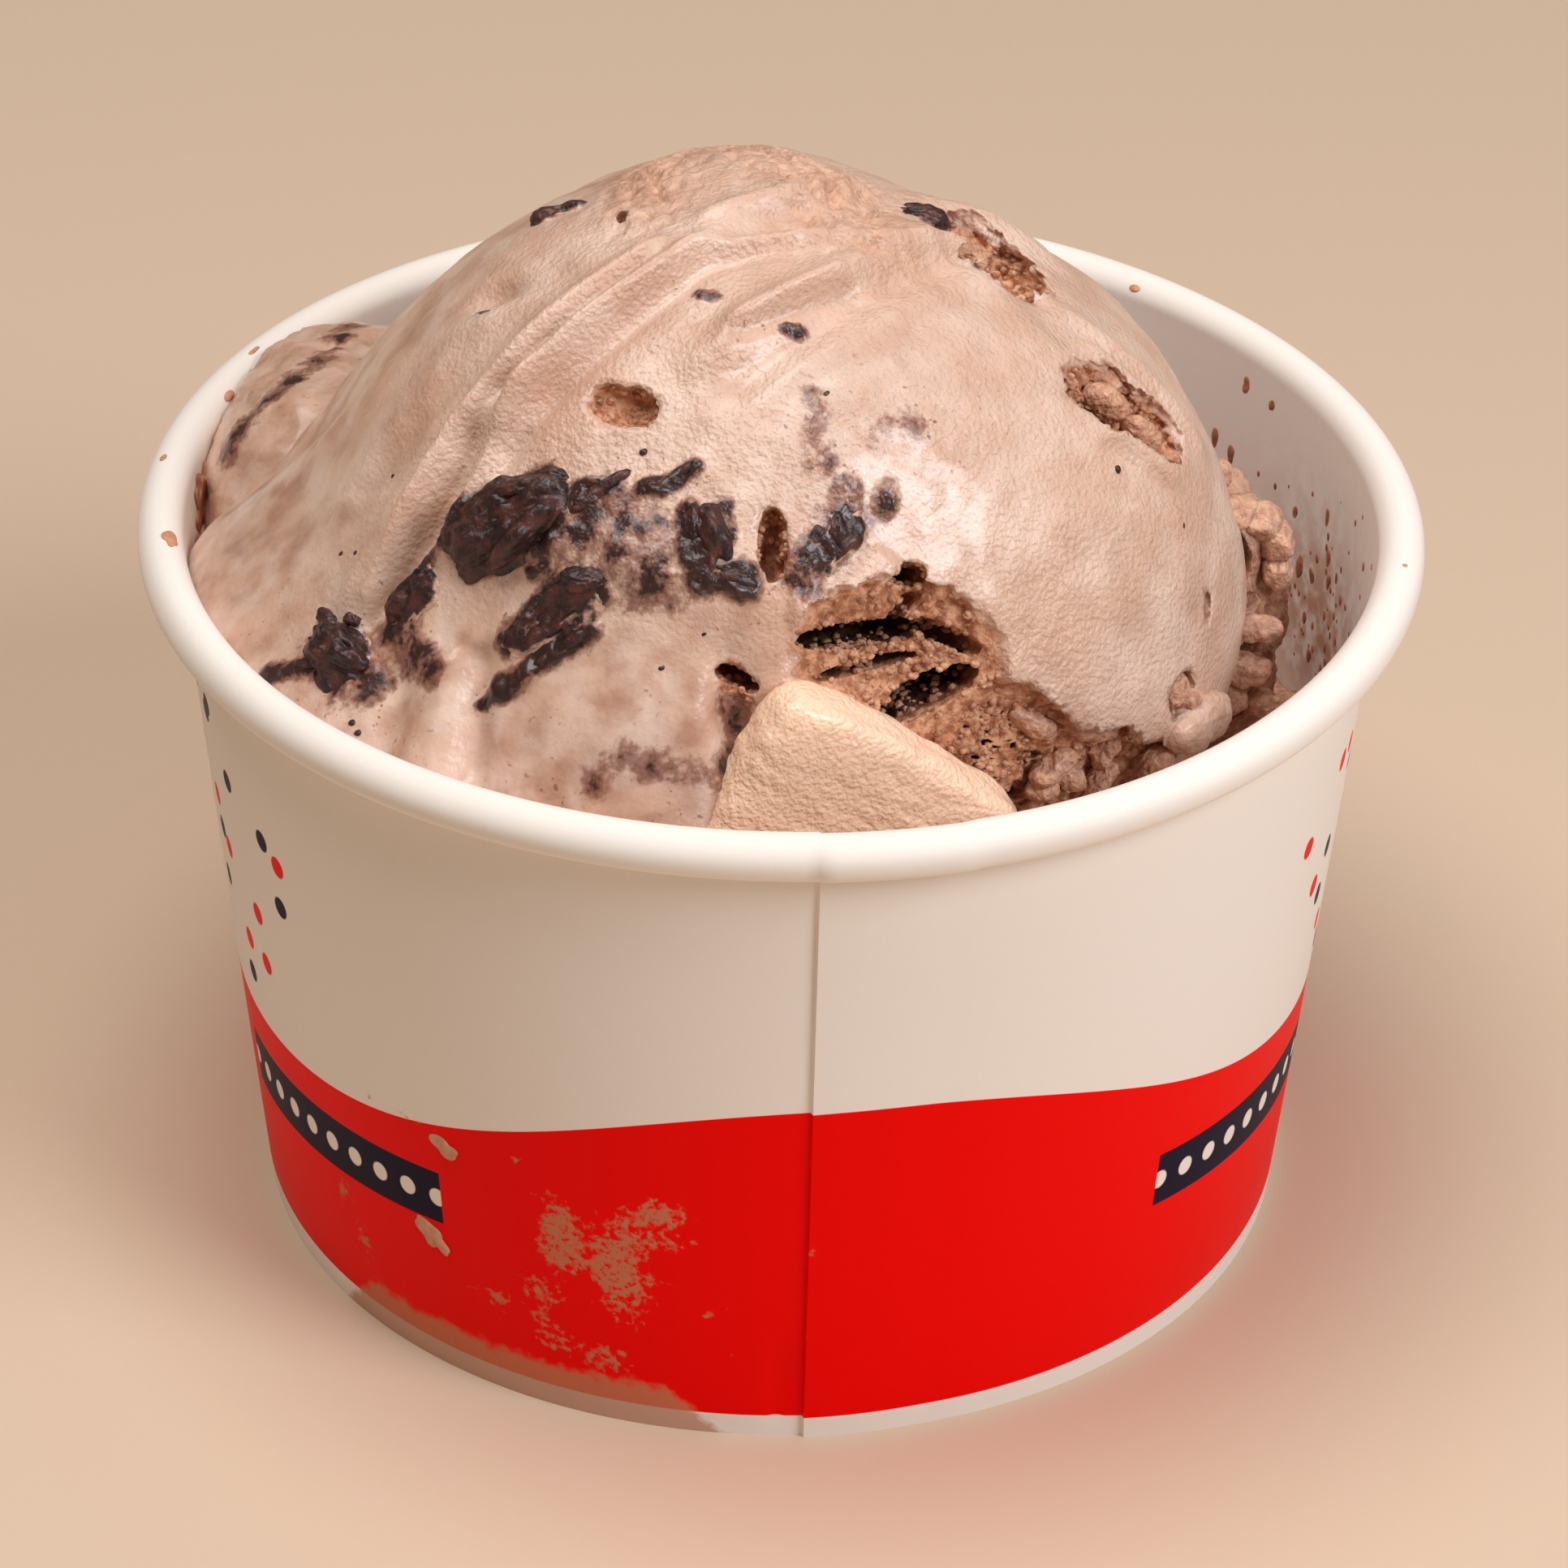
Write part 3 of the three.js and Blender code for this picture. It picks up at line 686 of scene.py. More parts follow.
def swelling(d, azimuth, elevation, turn, length, width, height, below):
    along, across, outward = spot_axes(azimuth, elevation, turn)
    u = SCOOP_RADIUS * np.arcsin(np.clip(d @ along, -1, 1))
    v = SCOOP_RADIUS * np.arcsin(np.clip(d @ across, -1, 1))
    spread = np.where(v < 0, width * below, width)
    bump = height * np.exp(-0.5 * ((u / length) ** 2 + (v / spread) ** 2))
    return np.where(d @ outward > 0.1, bump, 0)


def drag_ridge(d, start, end, width, height):
    """Ridge with a groove beside it, on the arc between two spots."""
    first, last = direction(*start), direction(*end)
    normal = np.cross(first, last)
    normal /= np.linalg.norm(normal)
    middle = first + last
    middle /= np.linalg.norm(middle)
    half = SCOOP_RADIUS * math.acos(first @ middle)
    along = np.abs(SCOOP_RADIUS * np.arcsin(np.clip(d @ np.cross(normal, middle), -1, 1)))
    side = SCOOP_RADIUS * np.arcsin(np.clip(d @ normal, -1, 1))
    fade = 1 - smooth_step(0.75 * half, 1.15 * half, along)
    ridge = np.exp(-((side / width) ** 2)) - 0.7 * np.exp(-((side / width + 1.9) ** 2))
    return np.where(d @ middle > 0.1, height * fade * ridge, 0)


def scoop_reach(d):
    """Distance from the centre to the scoop's surface, before it tore."""
    reach = SCOOP_RADIUS + 0.35 * wobble(d * SCOOP_RADIUS, 7)
    for item in SWELLINGS:
        reach = reach + swelling(d, *item)
    for item in DRAG_RIDGES:
        reach = reach + drag_ridge(d, *item)
    return reach


def unit(vectors):
    return vectors / np.linalg.norm(vectors, axis=1)[:, None]


def arc_distance(d, start, end):
    """Millimetres over the surface from the arc between two spots."""
    first, last = direction(*start), direction(*end)
    span = last - first
    t = np.clip((d - first) @ span / max(span @ span, 1e-9), 0, 1)
    return SCOOP_RADIUS * np.linalg.norm(d - unit(first + t[:, None] * span), axis=1)


# Fudge smeared on the skin: a line of spots as azimuth and elevation, half width and strength.
FUDGE_SMEARS = [
    ([(222.5, 15), (223, 20), (224.5, 26), (228, 31), (233, 35), (239, 38)], 1.0, 0.8),
    ([(231, 30), (238, 32)], 1.8, 0.75),
    ([(241, 30), (242, 34), (244, 36.6), (248, 39)], 0.8, 0.85),
    ([(253.6, 39.5), (257, 40.7), (260.5, 43.2)], 0.55, 0.95),
    ([(244, 32.5), (247, 34.5), (252, 34), (256, 30.5)], 2.4, 0.6),
    ([(261, 37.5), (263, 32.5)], 0.9, 0.85),
    ([(266, 38), (267.2, 35.5)], 0.7, 0.75),
    ([(264, 30.2), (270, 30)], 0.95, 0.9),
    ([(239.5, 19), (242.5, 23.3), (245.5, 27), (250.5, 27.5)], 0.9, 0.85),
    ([(240.4, 14), (243.8, 17), (246.6, 19.4), (249.7, 22)], 0.7, 0.85),
    ([(238, 11.3), (240.4, 14)], 0.35, 0.8),
    ([(212, 5.3), (215, 7.6), (217, 9.7)], 0.5, 0.9),
    ([(216, 9.5), (220, 10.5), (223.5, 9)], 1.3, 0.62),
    ([(225, 16), (227.7, 13.1), (230.6, 12.9)], 1.1, 0.6),
    ([(257, 9.5), (260, 9.9), (263, 8.8), (265.6, 7.5)], 1.0, 0.5),
    ([(254.5, 7.5), (255.6, 8.7)], 1.0, 0.45),
    ([(268.3, 16.5), (268.6, 12), (267.6, 8.5)], 0.8, 0.6),
    ([(278, 31), (281.5, 35), (283.5, 36.5)], 1.5, 0.68),
    ([(283, 36), (284.7, 40.2)], 0.9, 0.7),
    ([(290, 37.5), (291, 40)], 0.8, 0.65),
    ([(281, 44), (282, 51)], 1.0, 0.5),
    ([(292, 46), (299, 47)], 1.2, 0.42),
    ([(279, 61), (281, 61)], 0.5, 0.75),
    ([(255, 66), (257, 66)], 0.5, 0.65),
    ([(240, 27), (241.8, 28.2)], 0.5, 0.8),
]
DUST_REACH = 7


def fudge_fields(d):
    """How much fudge is smeared on the skin, and how much of its dust lies about."""
    warp = np.stack([wobble(d * SCOOP_RADIUS + shift, 1.5) for shift in (0, 7, 19)], axis=1)
    bent = unit(d + 0.012 * warp)
    smeared = np.zeros(len(d))
    dusty = np.full(len(d), 0.25)
    for spots, half_width, strength in FUDGE_SMEARS:
        for start, end in zip(spots, spots[1:]):
            away = arc_distance(bent, start, end)
            smeared = np.maximum(smeared, strength * np.exp(-((away / (1.5 * half_width)) ** 3)))
            dusty = np.maximum(dusty, np.exp(-((away / DUST_REACH) ** 2)))
    return smeared, dusty


def fine_relief(d):
    relief = 0.16 * ripple(d * SCOOP_RADIUS, 3.5, 2)
    for item in FINE_SPOTS:
        relief = relief + swelling(d, *item)
    for item in FINE_RIDGES:
        relief = relief + drag_ridge(d, *item)
    small = ripple(d * SCOOP_RADIUS, 1.2, 3)
    crest = np.clip(sum(swelling(d, *item) for item in RAGGED_CREST), 0, 1)
    patch = np.clip(swelling(d, *GLOSSY_PATCH), 0, 1)
    smeared, _ = fudge_fields(d)
    raised = smooth_step(0.35, 0.8, smeared) * (0.35 + 0.5 * small)
    return relief + 1.3 * crest * np.minimum(small, 0.1) + patch * (0.1 + 0.05 * small) + raised


def keep_inside(points):
    """Keeps points off the tub's wall, and clear of its rolled rim."""
    height = points[:, 2]
    over_roll = np.maximum(0, height - TUB_HEIGHT)
    limit = wall_inner(np.minimum(height, TUB_HEIGHT - ROLL_RADIUS)) + over_roll - WALL_GAP
    radius = np.hypot(points[:, 0], points[:, 1])
    points[:, :2] *= np.where(radius > limit, limit / radius, 1)[:, None]
    return points


def lump(detail, centre, axes, half, square=2.2, coarse=(0.4, 2.2), fine=(0.2, 0.8), ribs=1, lean=0):
    """Rounded, uneven block. square is 2 for an egg, and more for a block.

    Bumps are ribs times as long as wide, and lean shifts its upper side along."""
    bm = bmesh.new()
    bmesh.ops.create_icosphere(bm, subdivisions=detail, radius=1)
    d = places(bm)
    local = d * (((np.abs(d) / half) ** square).sum(axis=1) ** (-1 / square))[:, None]
    local[:, 0] -= lean * local[:, 1]
    offset = local @ axes
    points = centre + offset
    push = coarse[0] * wobble(points, coarse[1])
    push = push + fine[0] * ripple(local / (ribs, 1, 1) + centre, fine[1], 3)
    move_to(bm, keep_inside(points + unit(offset) * push[:, None]))
    return bm


def on_scoop(azimuth, elevation, turn, half, proud):
    """Centre and axes of a lump set in the scoop's surface."""
    axes = spot_axes(azimuth, elevation, turn)
    depth = scoop_reach(axes[2][None])[0] + proud - half[2]
    return SCOOP_CENTRE + axes[2] * depth, axes


def lump_on_scoop(detail, spot, *shape):
    """Lump at a spot: azimuth, elevation, turn, half sizes and how far it stands proud."""
    centre, axes = on_scoop(*spot)
    return lump(detail, centre, axes, spot[3], *shape)


def joined(bodies):
    whole = bmesh.new()
    for body in bodies:
        part = as_mesh("part", body)
        whole.from_mesh(part)
        bpy.data.meshes.remove(part)
    return whole


def without(body, cutters, kept=1.0):
    """Mesh of the body after the cutters took their part of it, with a share of its faces kept."""
    taken = bpy.data.collections.new("taken")
    bpy.context.scene.collection.children.link(taken)
    for cutter in cutters:
        taken.objects.link(bpy.data.objects.new("cutter", as_mesh("cutter", cutter)))
    whole = bpy.data.objects.new("whole", as_mesh("whole", body))
    bpy.context.scene.collection.objects.link(whole)
    cut = whole.modifiers.new("cut", "BOOLEAN")
    cut.operation = "DIFFERENCE"
    cut.operand_type = "COLLECTION"
    cut.collection = taken
    cut.solver = "MANIFOLD"
    whole.modifiers.new("merge", "DECIMATE").ratio = kept
    evaluated = whole.evaluated_get(bpy.context.evaluated_depsgraph_get())
    made = bpy.data.meshes.new_from_object(evaluated)
    for spent in [*taken.objects, whole]:
        bpy.data.objects.remove(spent)
    bpy.data.collections.remove(taken)
    return made


def scoop():
    bm = bmesh.new()
    bmesh.ops.create_icosphere(bm, subdivisions=SCOOP_DETAIL, radius=1)
    front = [face for face in bm.faces if face.calc_center_median().dot(Vector(FRONT)) > FRONT_REACH]
    edges = {edge for face in front for edge in face.edges}
    bmesh.ops.subdivide_edges(bm, edges=list(edges), cuts=1, use_grid_fill=True)
    bmesh.ops.triangulate(bm, faces=[face for face in bm.faces if len(face.verts) > 3])
    d = unit(places(bm))
    points = SCOOP_CENTRE + d * (scoop_reach(d) + fine_relief(d))[:, None]
    low = points[:, 2] < SCOOP_BOTTOM
    points[low, 2] = SCOOP_BOTTOM + BOTTOM_BULGE * (points[low, 2] - SCOOP_BOTTOM)
    move_to(bm, keep_inside(points))

    cutters = []
    for *spot, detail, ragged in TEARS:
        cutters.append(lump_on_scoop(detail, spot, 2.4, (ragged, 2.4), (0.9 * ragged, 1.0)))
    draw = random.Random(5)
    for _ in range(PORES["count"]):
        size = draw.uniform(*PORES["size"])
        half = (size * draw.uniform(1, 2.5), size, PORES["half_depth"])
        place = (draw.uniform(*PORES["azimuth"]), draw.uniform(*PORES["elevation"]))
        spot = (*place, PORES["turn"], half, PORES["proud"])
        cutters.append(lump_on_scoop(2, spot, 2.2, (0.1, 0.6), (0.1, 0.5)))
    made = without(bm, cutters, SCOOP_KEPT)
    made.name = "scoop_of_gelato"

    points = mesh_points(made)
    offset = points - SCOOP_CENTRE
    d = unit(offset)
    depth = scoop_reach(d) - np.linalg.norm(offset, axis=1)
    near_tear = np.zeros(len(points), bool)
    for *spot, _, ragged in TEARS:
        centre, axes = on_scoop(*spot)
        local = np.abs((points - centre) @ axes.T)
        near_tear |= ((local / (np.array(spot[3]) + 0.5 + ragged)) ** 2.4).sum(axis=1) < 1
    torn = np.where(near_tear, smooth_step(0.3, 0.6, depth), 0)
    crest = np.clip(sum(swelling(d, *item) for item in RAGGED_CREST), 0, 1)
    torn = np.maximum(torn, 0.5 * crest)
    left = smooth_step(0.1, -0.5, d @ direction(300, 20) - 0.35)
    left = left * smooth_step(-0.45, 0.25, d @ direction(225, 10))
    front_low = np.clip(swelling(d, 245, 12, 0, 16, 7, 1.2, 2), 0, 1)
    patch = np.clip(1.2 * swelling(d, *GLOSSY_PATCH), 0, 1)
    smeared, dusty = fudge_fields(d)
    paint(
        made,
        torn=torn,
        # Painted shade: the torn crumb darkens where it lies deeper below the skin.
        deep=smooth_step(2.4, 5, depth) * near_tear,
        melted=np.clip(np.maximum(0.85 * left, 0.9 * front_low), 0, 1) * (1 - torn),
        wet=patch * (1 - torn),
        cocoa=smeared * (1 - 0.7 * torn),
        dusty=dusty * (1 - torn),
        frosty=(1 - torn) * (1 - 0.85 * np.maximum(left, front_low)),
    )
    return made


scoop_mesh = scoop()
finish_piece(scoop_mesh, gelato, "gelato", "scoop")

# Slab and side lumps. A flat slice of gelato is pressed against the scoop's front, and softer
# lumps stand between the scoop and the wall, melted at the left and crumbly at the right.
UPRIGHT = np.eye(3)
SLAB_SPOT = (283.5, -3.5, -38, (12.0, 8.6, 2.8), 2.4)
SLAB_LEAN = 0.22
LEFT_CENTRE = np.array((-34, 12.5, 47))
LEFT_HALF = (9.5, 16.5, 13.5)
RIGHT_CENTRE = np.array((32.6, 4, 45))
RIGHT_HALF = (4.6, 7.4, 10.6)
SMALL_COARSE = (0.3, 1.5)  # height and size of a small lump's bumps
SMALL_FINE = (0.3, 0.9)
LEFT_FUDGE_EDGE = [
    (-33, 21.5, 59.1),
    (-34.1, 15.8, 60.4),
    (-35.3, 11.3, 60.4),
    (-37.6, 8.7, 59.8),
    (-39.6, 7, 58.2),
    (-40.8, 6, 56.6),
]
# Hollows and small lumps of the crumbly right side: place and half sizes.
RIGHT_HOLLOWS = [
    ((33.0, -2.2, 52.6), (1.9, 3.6, 2.3)),
    ((34.6, -3.2, 49.3), (2.6, 3.0, 1.0)),
    ((35.6, -3.0, 46.2), (2.0, 2.4, 0.9)),
    ((33.0, -3.6, 40.4), (2.0, 2.4, 1.3)),
    ((36.2, -2.0, 43.4), (1.2, 2.0, 1.5)),
]
RIGHT_LUMPS = [
    ((32.4, 3.6, 57.0), (0.9, 0.9, 1.1)),
    ((33.6, 1.2, 55.2), (1.6, 1.8, 1.2)),
    ((35.4, 1.0, 54.6), (1.5, 1.8, 1.2)),
    ((36.6, 0.8, 53.0), (1.2, 1.8, 1.5)),
    ((36.8, 0.2, 51.0), (1.1, 1.7, 1.4)),
    ((35.4, -2.6, 47.7), (1.8, 1.4, 0.9)),
    ((34.4, -3.6, 44.6), (2.0, 1.3, 1.2)),
    ((35.8, -3.4, 41.6), (1.4, 1.2, 1.1)),
    ((33.4, -4.4, 42.4), (1.3, 1.1, 0.9)),
]
# Small pieces that hang at the scoop's lip: azimuth, elevation, turn, half sizes, how proud.
LIP_PIECES = [
    (334, -3.5, -12, (4.4, 2.0, 2.0), 1.9),
    (329.5, 2.6, 30, (1.5, 1.1, 1.2), 0.5),
    (331.5, 0.8, -20, (1.2, 0.8, 1.0), 0.6),
    (326.5, -6.5, 40, (1.6, 1.2, 1.2), 0.9),
    (311, -0.8, 20, (1.9, 0.9, 1.2), -0.6),
    (313.5, -3.4, -30, (1.3, 1.0, 1.2), -0.4),
    (309.5, -3.6, 10, (1.1, 0.7, 1.0), -0.6),
    (320.5, -2.5, 60, (1.7, 0.6, 1.0), -1.2),
    (319.5, -6, 35, (1.6, 0.7, 1.0), -0.6),
    (317, 2.4, -25, (3.2, 0.9, 1.2), -0.8),
    (308, 6.2, -40, (2.6, 0.8, 1.2), -0.9),
    (343.5, 36, -62, (2.4, 1.0, 1.2), -0.5),
    (345, 30, -66, (2.1, 0.9, 1.1), -0.4),
    (340.5, 31.5, -40, (1.1, 0.8, 0.9), -1.0),
    (347, 38, -70, (1.8, 0.9, 1.1), -0.2),
    (5, 60, 60, (1.8, 0.9, 1.0), -0.3),
]


def gelato_lump(name, bm, torn, melted, cocoa=0.0, frosty=0.6, pale=0.0):
    made = as_mesh(name, bm)
    paint(made, torn=torn, melted=melted, cocoa=cocoa, frosty=frosty, pale=pale, dusty=0.3)
    return made


slab_body = lump_on_scoop(6, SLAB_SPOT, 5, (0.25, 6), (0.25, 1.2), 2.5, SLAB_LEAN)
# The slab's skin is painted paler all over: painted light on its front.
slab_mesh = gelato_lump("slab_of_gelato", slab_body, 0, 0.1, cocoa=0.05, frosty=1, pale=1)
finish_piece(slab_mesh, gelato, "gelato", "slab")

left_body = lump(6, LEFT_CENTRE, UPRIGHT, LEFT_HALF, 2.4, (1.1, 6), (0.4, 2.2))
left_mesh = as_mesh("left_gelato", left_body)
left_points = mesh_points(left_mesh)
edge_spots = np.array(LEFT_FUDGE_EDGE)
edge_line = np.concatenate([edge_spots, (edge_spots[1:] + edge_spots[:-1]) / 2])
from_edge = np.linalg.norm(left_points[:, None] - edge_line, axis=2).min(axis=1)
edge_cocoa = 0.62 * np.exp(-((from_edge / 1.8) ** 2))
paint(left_mesh, torn=0.15, melted=0.7, cocoa=edge_cocoa, dusty=0.6)
finish_piece(left_mesh, gelato, "gelato", "gelato_left")


def small_lumps(items):
    """Small uneven lumps, each given by its place and half sizes."""
    bodies = []
    for at, half in items:
        bodies.append(lump(4, np.array(at), UPRIGHT, half, 2.2, SMALL_COARSE, SMALL_FINE))
    return bodies


right_body = lump(6, RIGHT_CENTRE, UPRIGHT, RIGHT_HALF, 2.4, (1.2, 3.2), (0.7, 1.8))
right_mesh = without(right_body, small_lumps(RIGHT_HOLLOWS))
right_mesh.name = "right_gelato"
right_up = mesh_points(right_mesh)[:, 2]
right_torn = 0.9 - 0.4 * smooth_step(52, 55, right_up)
# Its crumb is darkened evenly part of the way towards the same dark brown.
paint(right_mesh, torn=right_torn, melted=0.1, cocoa=0.05, dusty=0.5, frosty=0.5, deep=0.4)
finish_piece(right_mesh, gelato, "gelato", "gelato_right")

small_right = gelato_lump("right_small_lumps", joined(small_lumps(RIGHT_LUMPS)), 0.6, 0.2)
finish_piece(small_right, gelato, "gelato")

lip_meshes = {"lip_lobe": (LIP_PIECES[:1], 0), "lip_lumps": (LIP_PIECES[1:], 0.7)}
for name, (pieces, torn) in lip_meshes.items():
    bodies = [lump_on_scoop(5, spot, 2.3, (0.3, 1.8), (0.2, 0.8)) for spot in pieces]
    finish_piece(gelato_lump(name, joined(bodies), torn, 0.2), gelato, "gelato")

# Crumbs. Small grains of gelato that broke off and stick in the tears and on the rough lumps.
CRUMB_COUNT = 1800
CRUMB_SIZE = (0.12, 0.4)


def crumbs():
    draw = random.Random(11)
    points = mesh_points(scoop_mesh) / MM
    torn = np.zeros(len(points), np.float32)
    scoop_mesh.attributes["torn"].data.foreach_get("value", torn)
    in_front = (points - SCOOP_CENTRE) @ FRONT > -6
    seats = np.flatnonzero((torn > 0.75) & in_front)
    bodies = []
    for _ in range(CRUMB_COUNT):
        size = draw.uniform(*CRUMB_SIZE)
        at = points[seats[draw.randrange(len(seats))]]
        half = (size, size * draw.uniform(0.6, 1), size * draw.uniform(0.6, 1))
        bodies.append(lump(2, at, UPRIGHT, half, 2.2, (0.3 * size, 0.4), (0.3 * size, 0.3)))
    return gelato_lump("gelato_crumbs", joined(bodies), 0.9, 0)


finish_piece(crumbs(), gelato, "gelato")

# Fudge pieces. Soft dark chocolate fudge, broken into uneven pieces and frozen into the gelato,
# with a wet shine and cream smeared over their lower edges.
FUDGE_DARK = srgb(42, 20, 20)
FUDGE_RED = srgb(88, 46, 38)
# Pieces and shreds: azimuth, elevation, turn, half sizes and how far each stands proud.
FUDGE_PIECES = {
    "fudge_large": (234.6, 31.4, 44, (5.2, 3, 2.6), 1.4),
    "fudge_tail": (223.6, 18.2, 76, (3.9, 1.8, 2.2), 0.8),
    "fudge_wedge": (218, 8.8, 8, (3.6, 2.3, 2.3), 0.9),
    "fudge_bar": (244.8, 22.6, 46, (4.9, 2.2, 2.2), 0.9),
    "fudge_middle": (265, 33.5, -70, (2.9, 2, 2), 0.7),
    "fudge_glazed": (281.5, 34.5, 60, (2.6, 2, 2), 0.6),
    "fudge_top_right": (6, 68, 100, (2.5, 1.3, 1.6), 0.7),
    "fudge_top_left": (176, 64, 80, (2.4, 1.3, 1.6), 0.7),
}
FUDGE_SHREDS = [
    (245.5, 37.2, 48, (3.4, 0.6, 0.9), 0.45),
    (257, 41.2, 36, (2.7, 0.5, 0.8), 0.4),
    (267, 30, 0, (2.1, 0.9, 1.0), 0.45),
    (262.5, 34.8, -78, (2.2, 0.6, 1.0), 0.8),
    (245.2, 18.2, 46, (3.6, 0.6, 0.9), 0.35),
    (239.2, 12.6, 50, (1.4, 0.3, 0.6), 0.15),
    (239.3, 38.3, 10, (1.1, 0.7, 0.9), 0.8),
    (213.6, 12.0, 0, (0.9, 0.6, 0.8), 0.5),
    (217, 13.4, 10, (1.0, 0.6, 0.8), 0.5),
    (214.6, 7.2, 34, (2.2, 0.45, 0.8), 0.3),
    (238.2, 31.0, 60, (3.4, 0.9, 1.4), 1.9),
    (235.2, 35.6, 30, (2.6, 0.8, 1.2), 1.3),
    (229, 31.5, 50, (2.6, 0.7, 1.2), 1.1),
    (240.9, 27.5, 40, (1.0, 0.5, 0.7), 0.3),
    (284.6, 40.1, 60, (1.0, 0.7, 0.8), 0.35),
    (290.5, 38.7, 85, (1.4, 0.7, 0.9), 0.4),
    (248.3, 27.8, 10, (1.6, 1.0, 1.0), 1.0),
]
FUDGE_SPECKS = [(211, 29.6), (211.6, 19.4), (233.5, 9), (226.1, 5.1), (224.8, 5.6), (264.3, 23.8)]
FUDGE_SPECKS += [(259.5, 19.5), (284, 52), (209, 18), (252, 44), (303, 61), (338, 20), (331, 31)]
SPECK_HALF = (0.3, 0.2, 0.22)
SPECK_TURN = 40
SPECK_PROUD = 0.12


def fudge_material():
    made, start = new_material("fudge")
    colour = start.noise(1.4, 4).rises(0.42, 0.7).mixed(FUDGE_DARK, FUDGE_RED)
    above = start.attribute("above")
    cream = start.noise(1.3, 5) * 1.4 - above * 1.1 + start.attribute("creamy")
    colour = (cream.rises(0.55, 0.8) * 0.9).mixed(colour, SKIN_MIDDLE)
    start.finish(
        base_color=colour,
        roughness=0.34 + start.noise(1, 3) * 0.25,
        normal=start.bump(start.noise(0.5, 4) * 0.22 + start.noise(0.2, 2) * 0.03),
        ior=1.45,
        coat_weight=0.25,
        coat_roughness=0.22,
    )
    return made


def fudge_mesh(name, bm, creamy=0.0):
    """Mesh that knows how far each vertex stands above the scoop's surface."""
    made = as_mesh(name, bm)
    offset = mesh_points(made) - SCOOP_CENTRE
    above = np.linalg.norm(offset, axis=1) - scoop_reach(unit(offset))
    paint(made, above=np.clip(above, 0, 2), creamy=creamy)
    return made


fudge = fudge_material()
CREAMY = {"fudge_bar": 0.3, "fudge_tail": 0.25, "fudge_middle": 0.2, "fudge_glazed": 0.3}
for node, spot in FUDGE_PIECES.items():
    body = lump_on_scoop(6, spot, 2.5, (0.45, 1.6), (0.6, 1.3), 2.4)
    finish_piece(fudge_mesh(node + "_piece", body, CREAMY.get(node, 0)), fudge, "fudge", node)

shreds = [lump_on_scoop(5, spot, 2.4, (0.3, 1.3), (0.25, 0.7), 2.4) for spot in FUDGE_SHREDS]
for azimuth, elevation in FUDGE_SPECKS:
    spot = (azimuth, elevation, SPECK_TURN, SPECK_HALF, SPECK_PROUD)
    shreds.append(lump_on_scoop(3, spot, 2.2, (0.06, 0.5), (0.05, 0.3)))
finish_piece(fudge_mesh("fudge_shreds", joined(shreds), -0.3), fudge, "fudge")

# Splashes and drips. Thin melted gelato that splashed on the inside of the wall and on the rim,
# and two thick smears of it that dried on the outside.
INNER_SPLASHES = [(21, 42.2), (18, 42.7), (14.9, 45.5), (11.8, 45.1), (18.2, 39.1), (9.5, 44.3)]
INNER_SPLASHES += [(14.9, 37.7), (15.5, 36.7), (38.7, 46.9), (34, 44.3), (36, 46.4), (16.7, 48.2)]
INNER_SPLASHES += [(35.1, 52.6), (13.8, 43.9), (23.7, 46.1)]
SPLASH_SPRAY = {"count": 70, "azimuth": (16, 11), "height": (43, 4), "size": (0.12, 0.4)}
INNER_SMEARS = [(172, 51.5, (2.4, 2.6, 0.3)), (176, 48.5, (3.0, 2.4, 0.3))]
OUTER_SMEARS = [(235.2, 21.7, -25, (1.15, 0.7, 0.35)), (232.1, 12.5, -38, (1.9, 0.7, 0.35))]
# Drips on the rolled rim: azimuth, radius, half sizes round, across and up.
RIM_DRIPS = [
    (189.2, 45.2, (1.1, 0.6, 0.14)),
    (152, 45.6, (0.7, 0.25, 0.12)),
    (173.9, 46.3, (0.6, 0.25, 0.12)),
    (160, 44.5, (0.7, 0.3, 0.12)),
    (51.7, 44.5, (0.45, 0.3, 0.1)),
    (349.8, 46.2, (0.3, 0.25, 0.12)),
]
SPLASH_THICK = 0.09
SPRAY_THICK = 0.07
SPLASH_COLOUR = srgb(190, 126, 90)
SPLASH_DARK = srgb(146, 88, 60)
DRIP_COLOUR = srgb(214, 156, 122)


def dried_material(name, first, second):
    made, start = new_material(name)
    colour = start.noise(1.2, 3).rises(0.35, 0.65).mixed(first, second)
    start.finish(base_color=colour, roughness=0.5, normal=start.bump(start.noise(0.5, 3) * 0.12))
    return made


def thin_lump(detail, centre, axes, half):
    """Flat egg with an uneven outline."""
    bm = bmesh.new()
    bmesh.ops.create_icosphere(bm, subdivisions=detail, radius=1)
    local = places(bm) * half
    share = 1 + 0.45 * wobble(local + centre, 0.55)
    move_to(bm, centre + (local * share[:, None]) @ axes)
    return bm


def wall_lump(detail, azimuth, height, turn, half, radius):
    """Flat lump that sticks to the wall, whose round radius is given."""
    centre = direction(azimuth, 0) * (radius + bowed(azimuth, height))
    return thin_lump(detail, centre + np.array((0, 0, height)), spot_axes(azimuth, 0, turn), half)


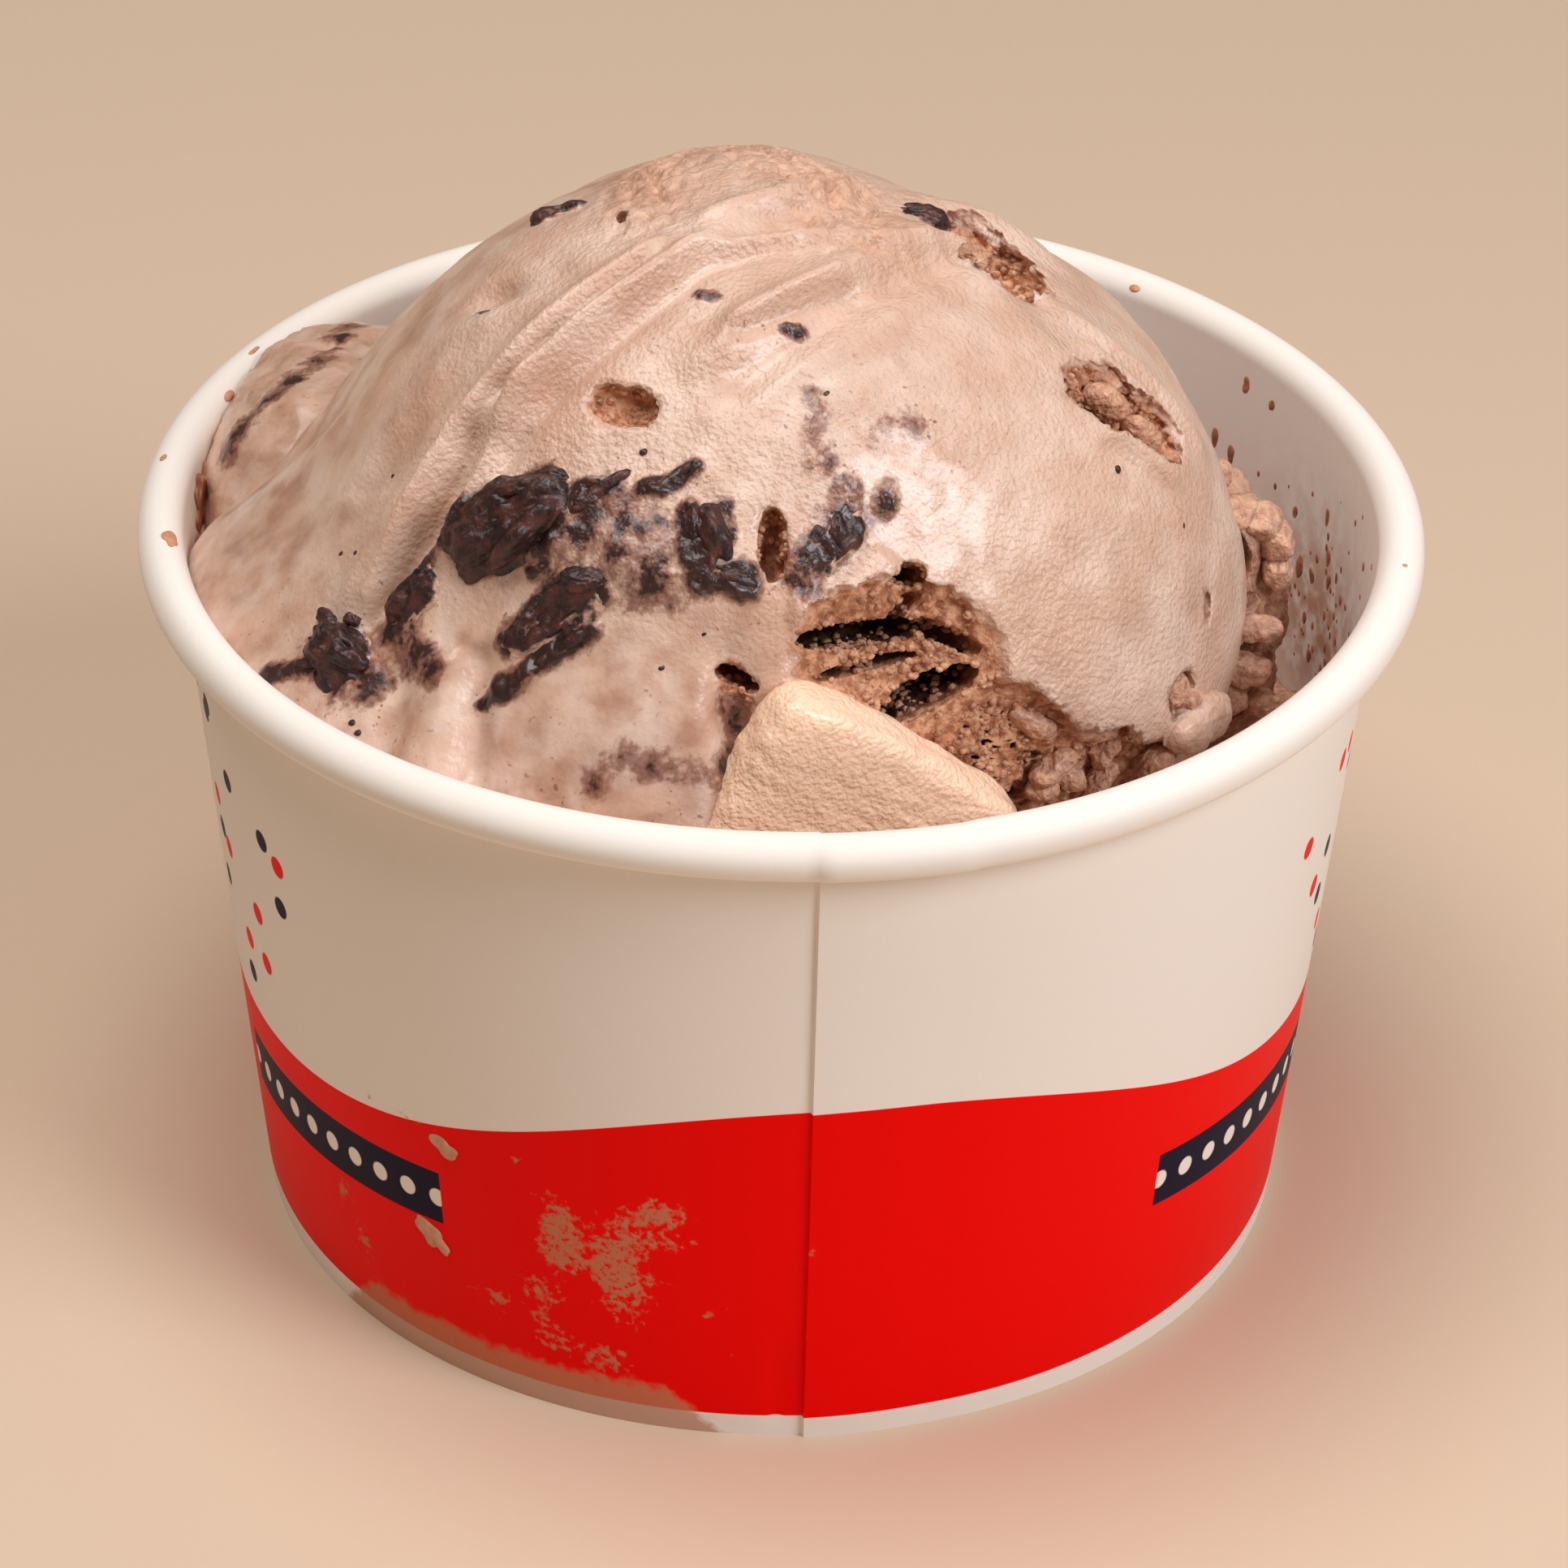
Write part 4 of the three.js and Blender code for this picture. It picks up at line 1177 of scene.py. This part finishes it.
def splashes():
    draw = random.Random(23)
    bodies = []
    for azimuth, height in INNER_SPLASHES:
        size = draw.uniform(0.3, 0.7)
        half = (size * 0.7, size * draw.uniform(1, 1.8), SPLASH_THICK)
        bodies.append(wall_lump(3, azimuth, height, 0, half, wall_inner(height)))
    for _ in range(SPLASH_SPRAY["count"]):
        size = draw.uniform(*SPLASH_SPRAY["size"])
        half = (size * 0.8, size * draw.uniform(0.8, 1.5), SPRAY_THICK)
        azimuth = draw.gauss(*SPLASH_SPRAY["azimuth"])
        height = min(draw.gauss(*SPLASH_SPRAY["height"]), 53)
        bodies.append(wall_lump(2, azimuth, height, 0, half, wall_inner(height)))
    for azimuth, height, half in INNER_SMEARS:
        bodies.append(wall_lump(4, azimuth, height, 0, half, wall_inner(height)))
    return as_mesh("inner_splashes", joined(bodies))


def drips():
    bodies = []
    for azimuth, height, turn, half in OUTER_SMEARS:
        bodies.append(wall_lump(4, azimuth, height, turn, half, wall_outer(height)))
    middle = np.array((RIM_RADIUS - ROLL_RADIUS, TUB_HEIGHT - ROLL_RADIUS))
    for azimuth, radius, half in RIM_DRIPS:
        tilt = math.degrees(math.acos((radius - middle[0]) / ROLL_RADIUS))
        height = middle[1] + ROLL_RADIUS * math.sin(math.radians(tilt))
        centre = direction(azimuth, 0) * (radius + bowed(azimuth, height))
        centre[2] = height
        bodies.append(thin_lump(4, centre, spot_axes(azimuth, tilt, 0), half))
    return as_mesh("rim_drips", joined(bodies))


splashed = dried_material("splashed", SPLASH_COLOUR, SPLASH_DARK)
finish_piece(splashes(), splashed, "stain")
finish_piece(drips(), dried_material("dried_drips", DRIP_COLOUR, DRIED), "stain")

# Table and lights. A plain pale table top, a soft cool light from the front right, a soft one
# nearly overhead, and a faint warm glow from all round.
TABLE_SIZE = 3
LAMP_DISTANCE = 0.9
GLOW_COLOUR = (1, 0.76, 0.58, 1)
GLOW_STRENGTH = 0.19
TABLE_COLOUR = srgb(214, 190, 166)


def table_top():
    bm = bmesh.new()
    bmesh.ops.create_grid(bm, x_segments=1, y_segments=1, size=TABLE_SIZE / 2)
    made = bpy.data.objects.new("table_top", as_mesh("table_top", bm))
    bpy.context.scene.collection.objects.link(made)
    material, start = new_material("table")
    start.finish(base_color=TABLE_COLOUR, roughness=0.6)
    made.data.materials.append(material)


def soft_light(name, azimuth, elevation, size, power, colour):
    lamp = bpy.data.lights.new(name, "AREA")
    lamp.shape = "DISK"
    lamp.size = size
    lamp.energy = power
    lamp.color = colour
    made = bpy.data.objects.new(name, lamp)
    toward = Vector(direction(azimuth, elevation))
    made.location = toward * LAMP_DISTANCE
    made.rotation_euler = toward.to_track_quat("Z", "Y").to_euler()
    bpy.context.scene.collection.objects.link(made)


table_top()
soft_light("window", 322, 40, size=0.4, power=4.5, colour=(0.96, 1, 1.06))
soft_light("overhead", 205, 80, size=0.6, power=5.4, colour=(1, 0.99, 0.97))
glow = bpy.data.worlds.new("glow")
glow.use_nodes = True
glow_inputs = glow.node_tree.nodes["Background"].inputs
glow_inputs["Color"].default_value = GLOW_COLOUR
glow_inputs["Strength"].default_value = GLOW_STRENGTH
bpy.context.scene.world = glow
bpy.context.scene.view_settings.view_transform = "Standard"

# Camera at the photograph's place, looking down on the cup from the front.
CAMERA_PLACE = Vector((0, -433.52, 306.22)) * MM
CAMERA_RIGHT = Vector((0.99987608, 0.00744031, 0.01387297))
CAMERA_UP = Vector((-0.01570113, 0.534974, 0.84472261))
FOCAL_LENGTH = 156.36
SENSOR = 36
NEAREST = 0.01
lens = bpy.data.cameras.new("camera")
lens.sensor_width = SENSOR
lens.lens = FOCAL_LENGTH
lens.clip_start = NEAREST
camera = bpy.data.objects.new("camera", lens)
turned = Matrix((CAMERA_RIGHT, CAMERA_UP, CAMERA_RIGHT.cross(CAMERA_UP))).transposed()
camera.matrix_world = Matrix.Translation(CAMERA_PLACE) @ turned.to_4x4()
bpy.context.scene.collection.objects.link(camera)
bpy.context.scene.camera = camera
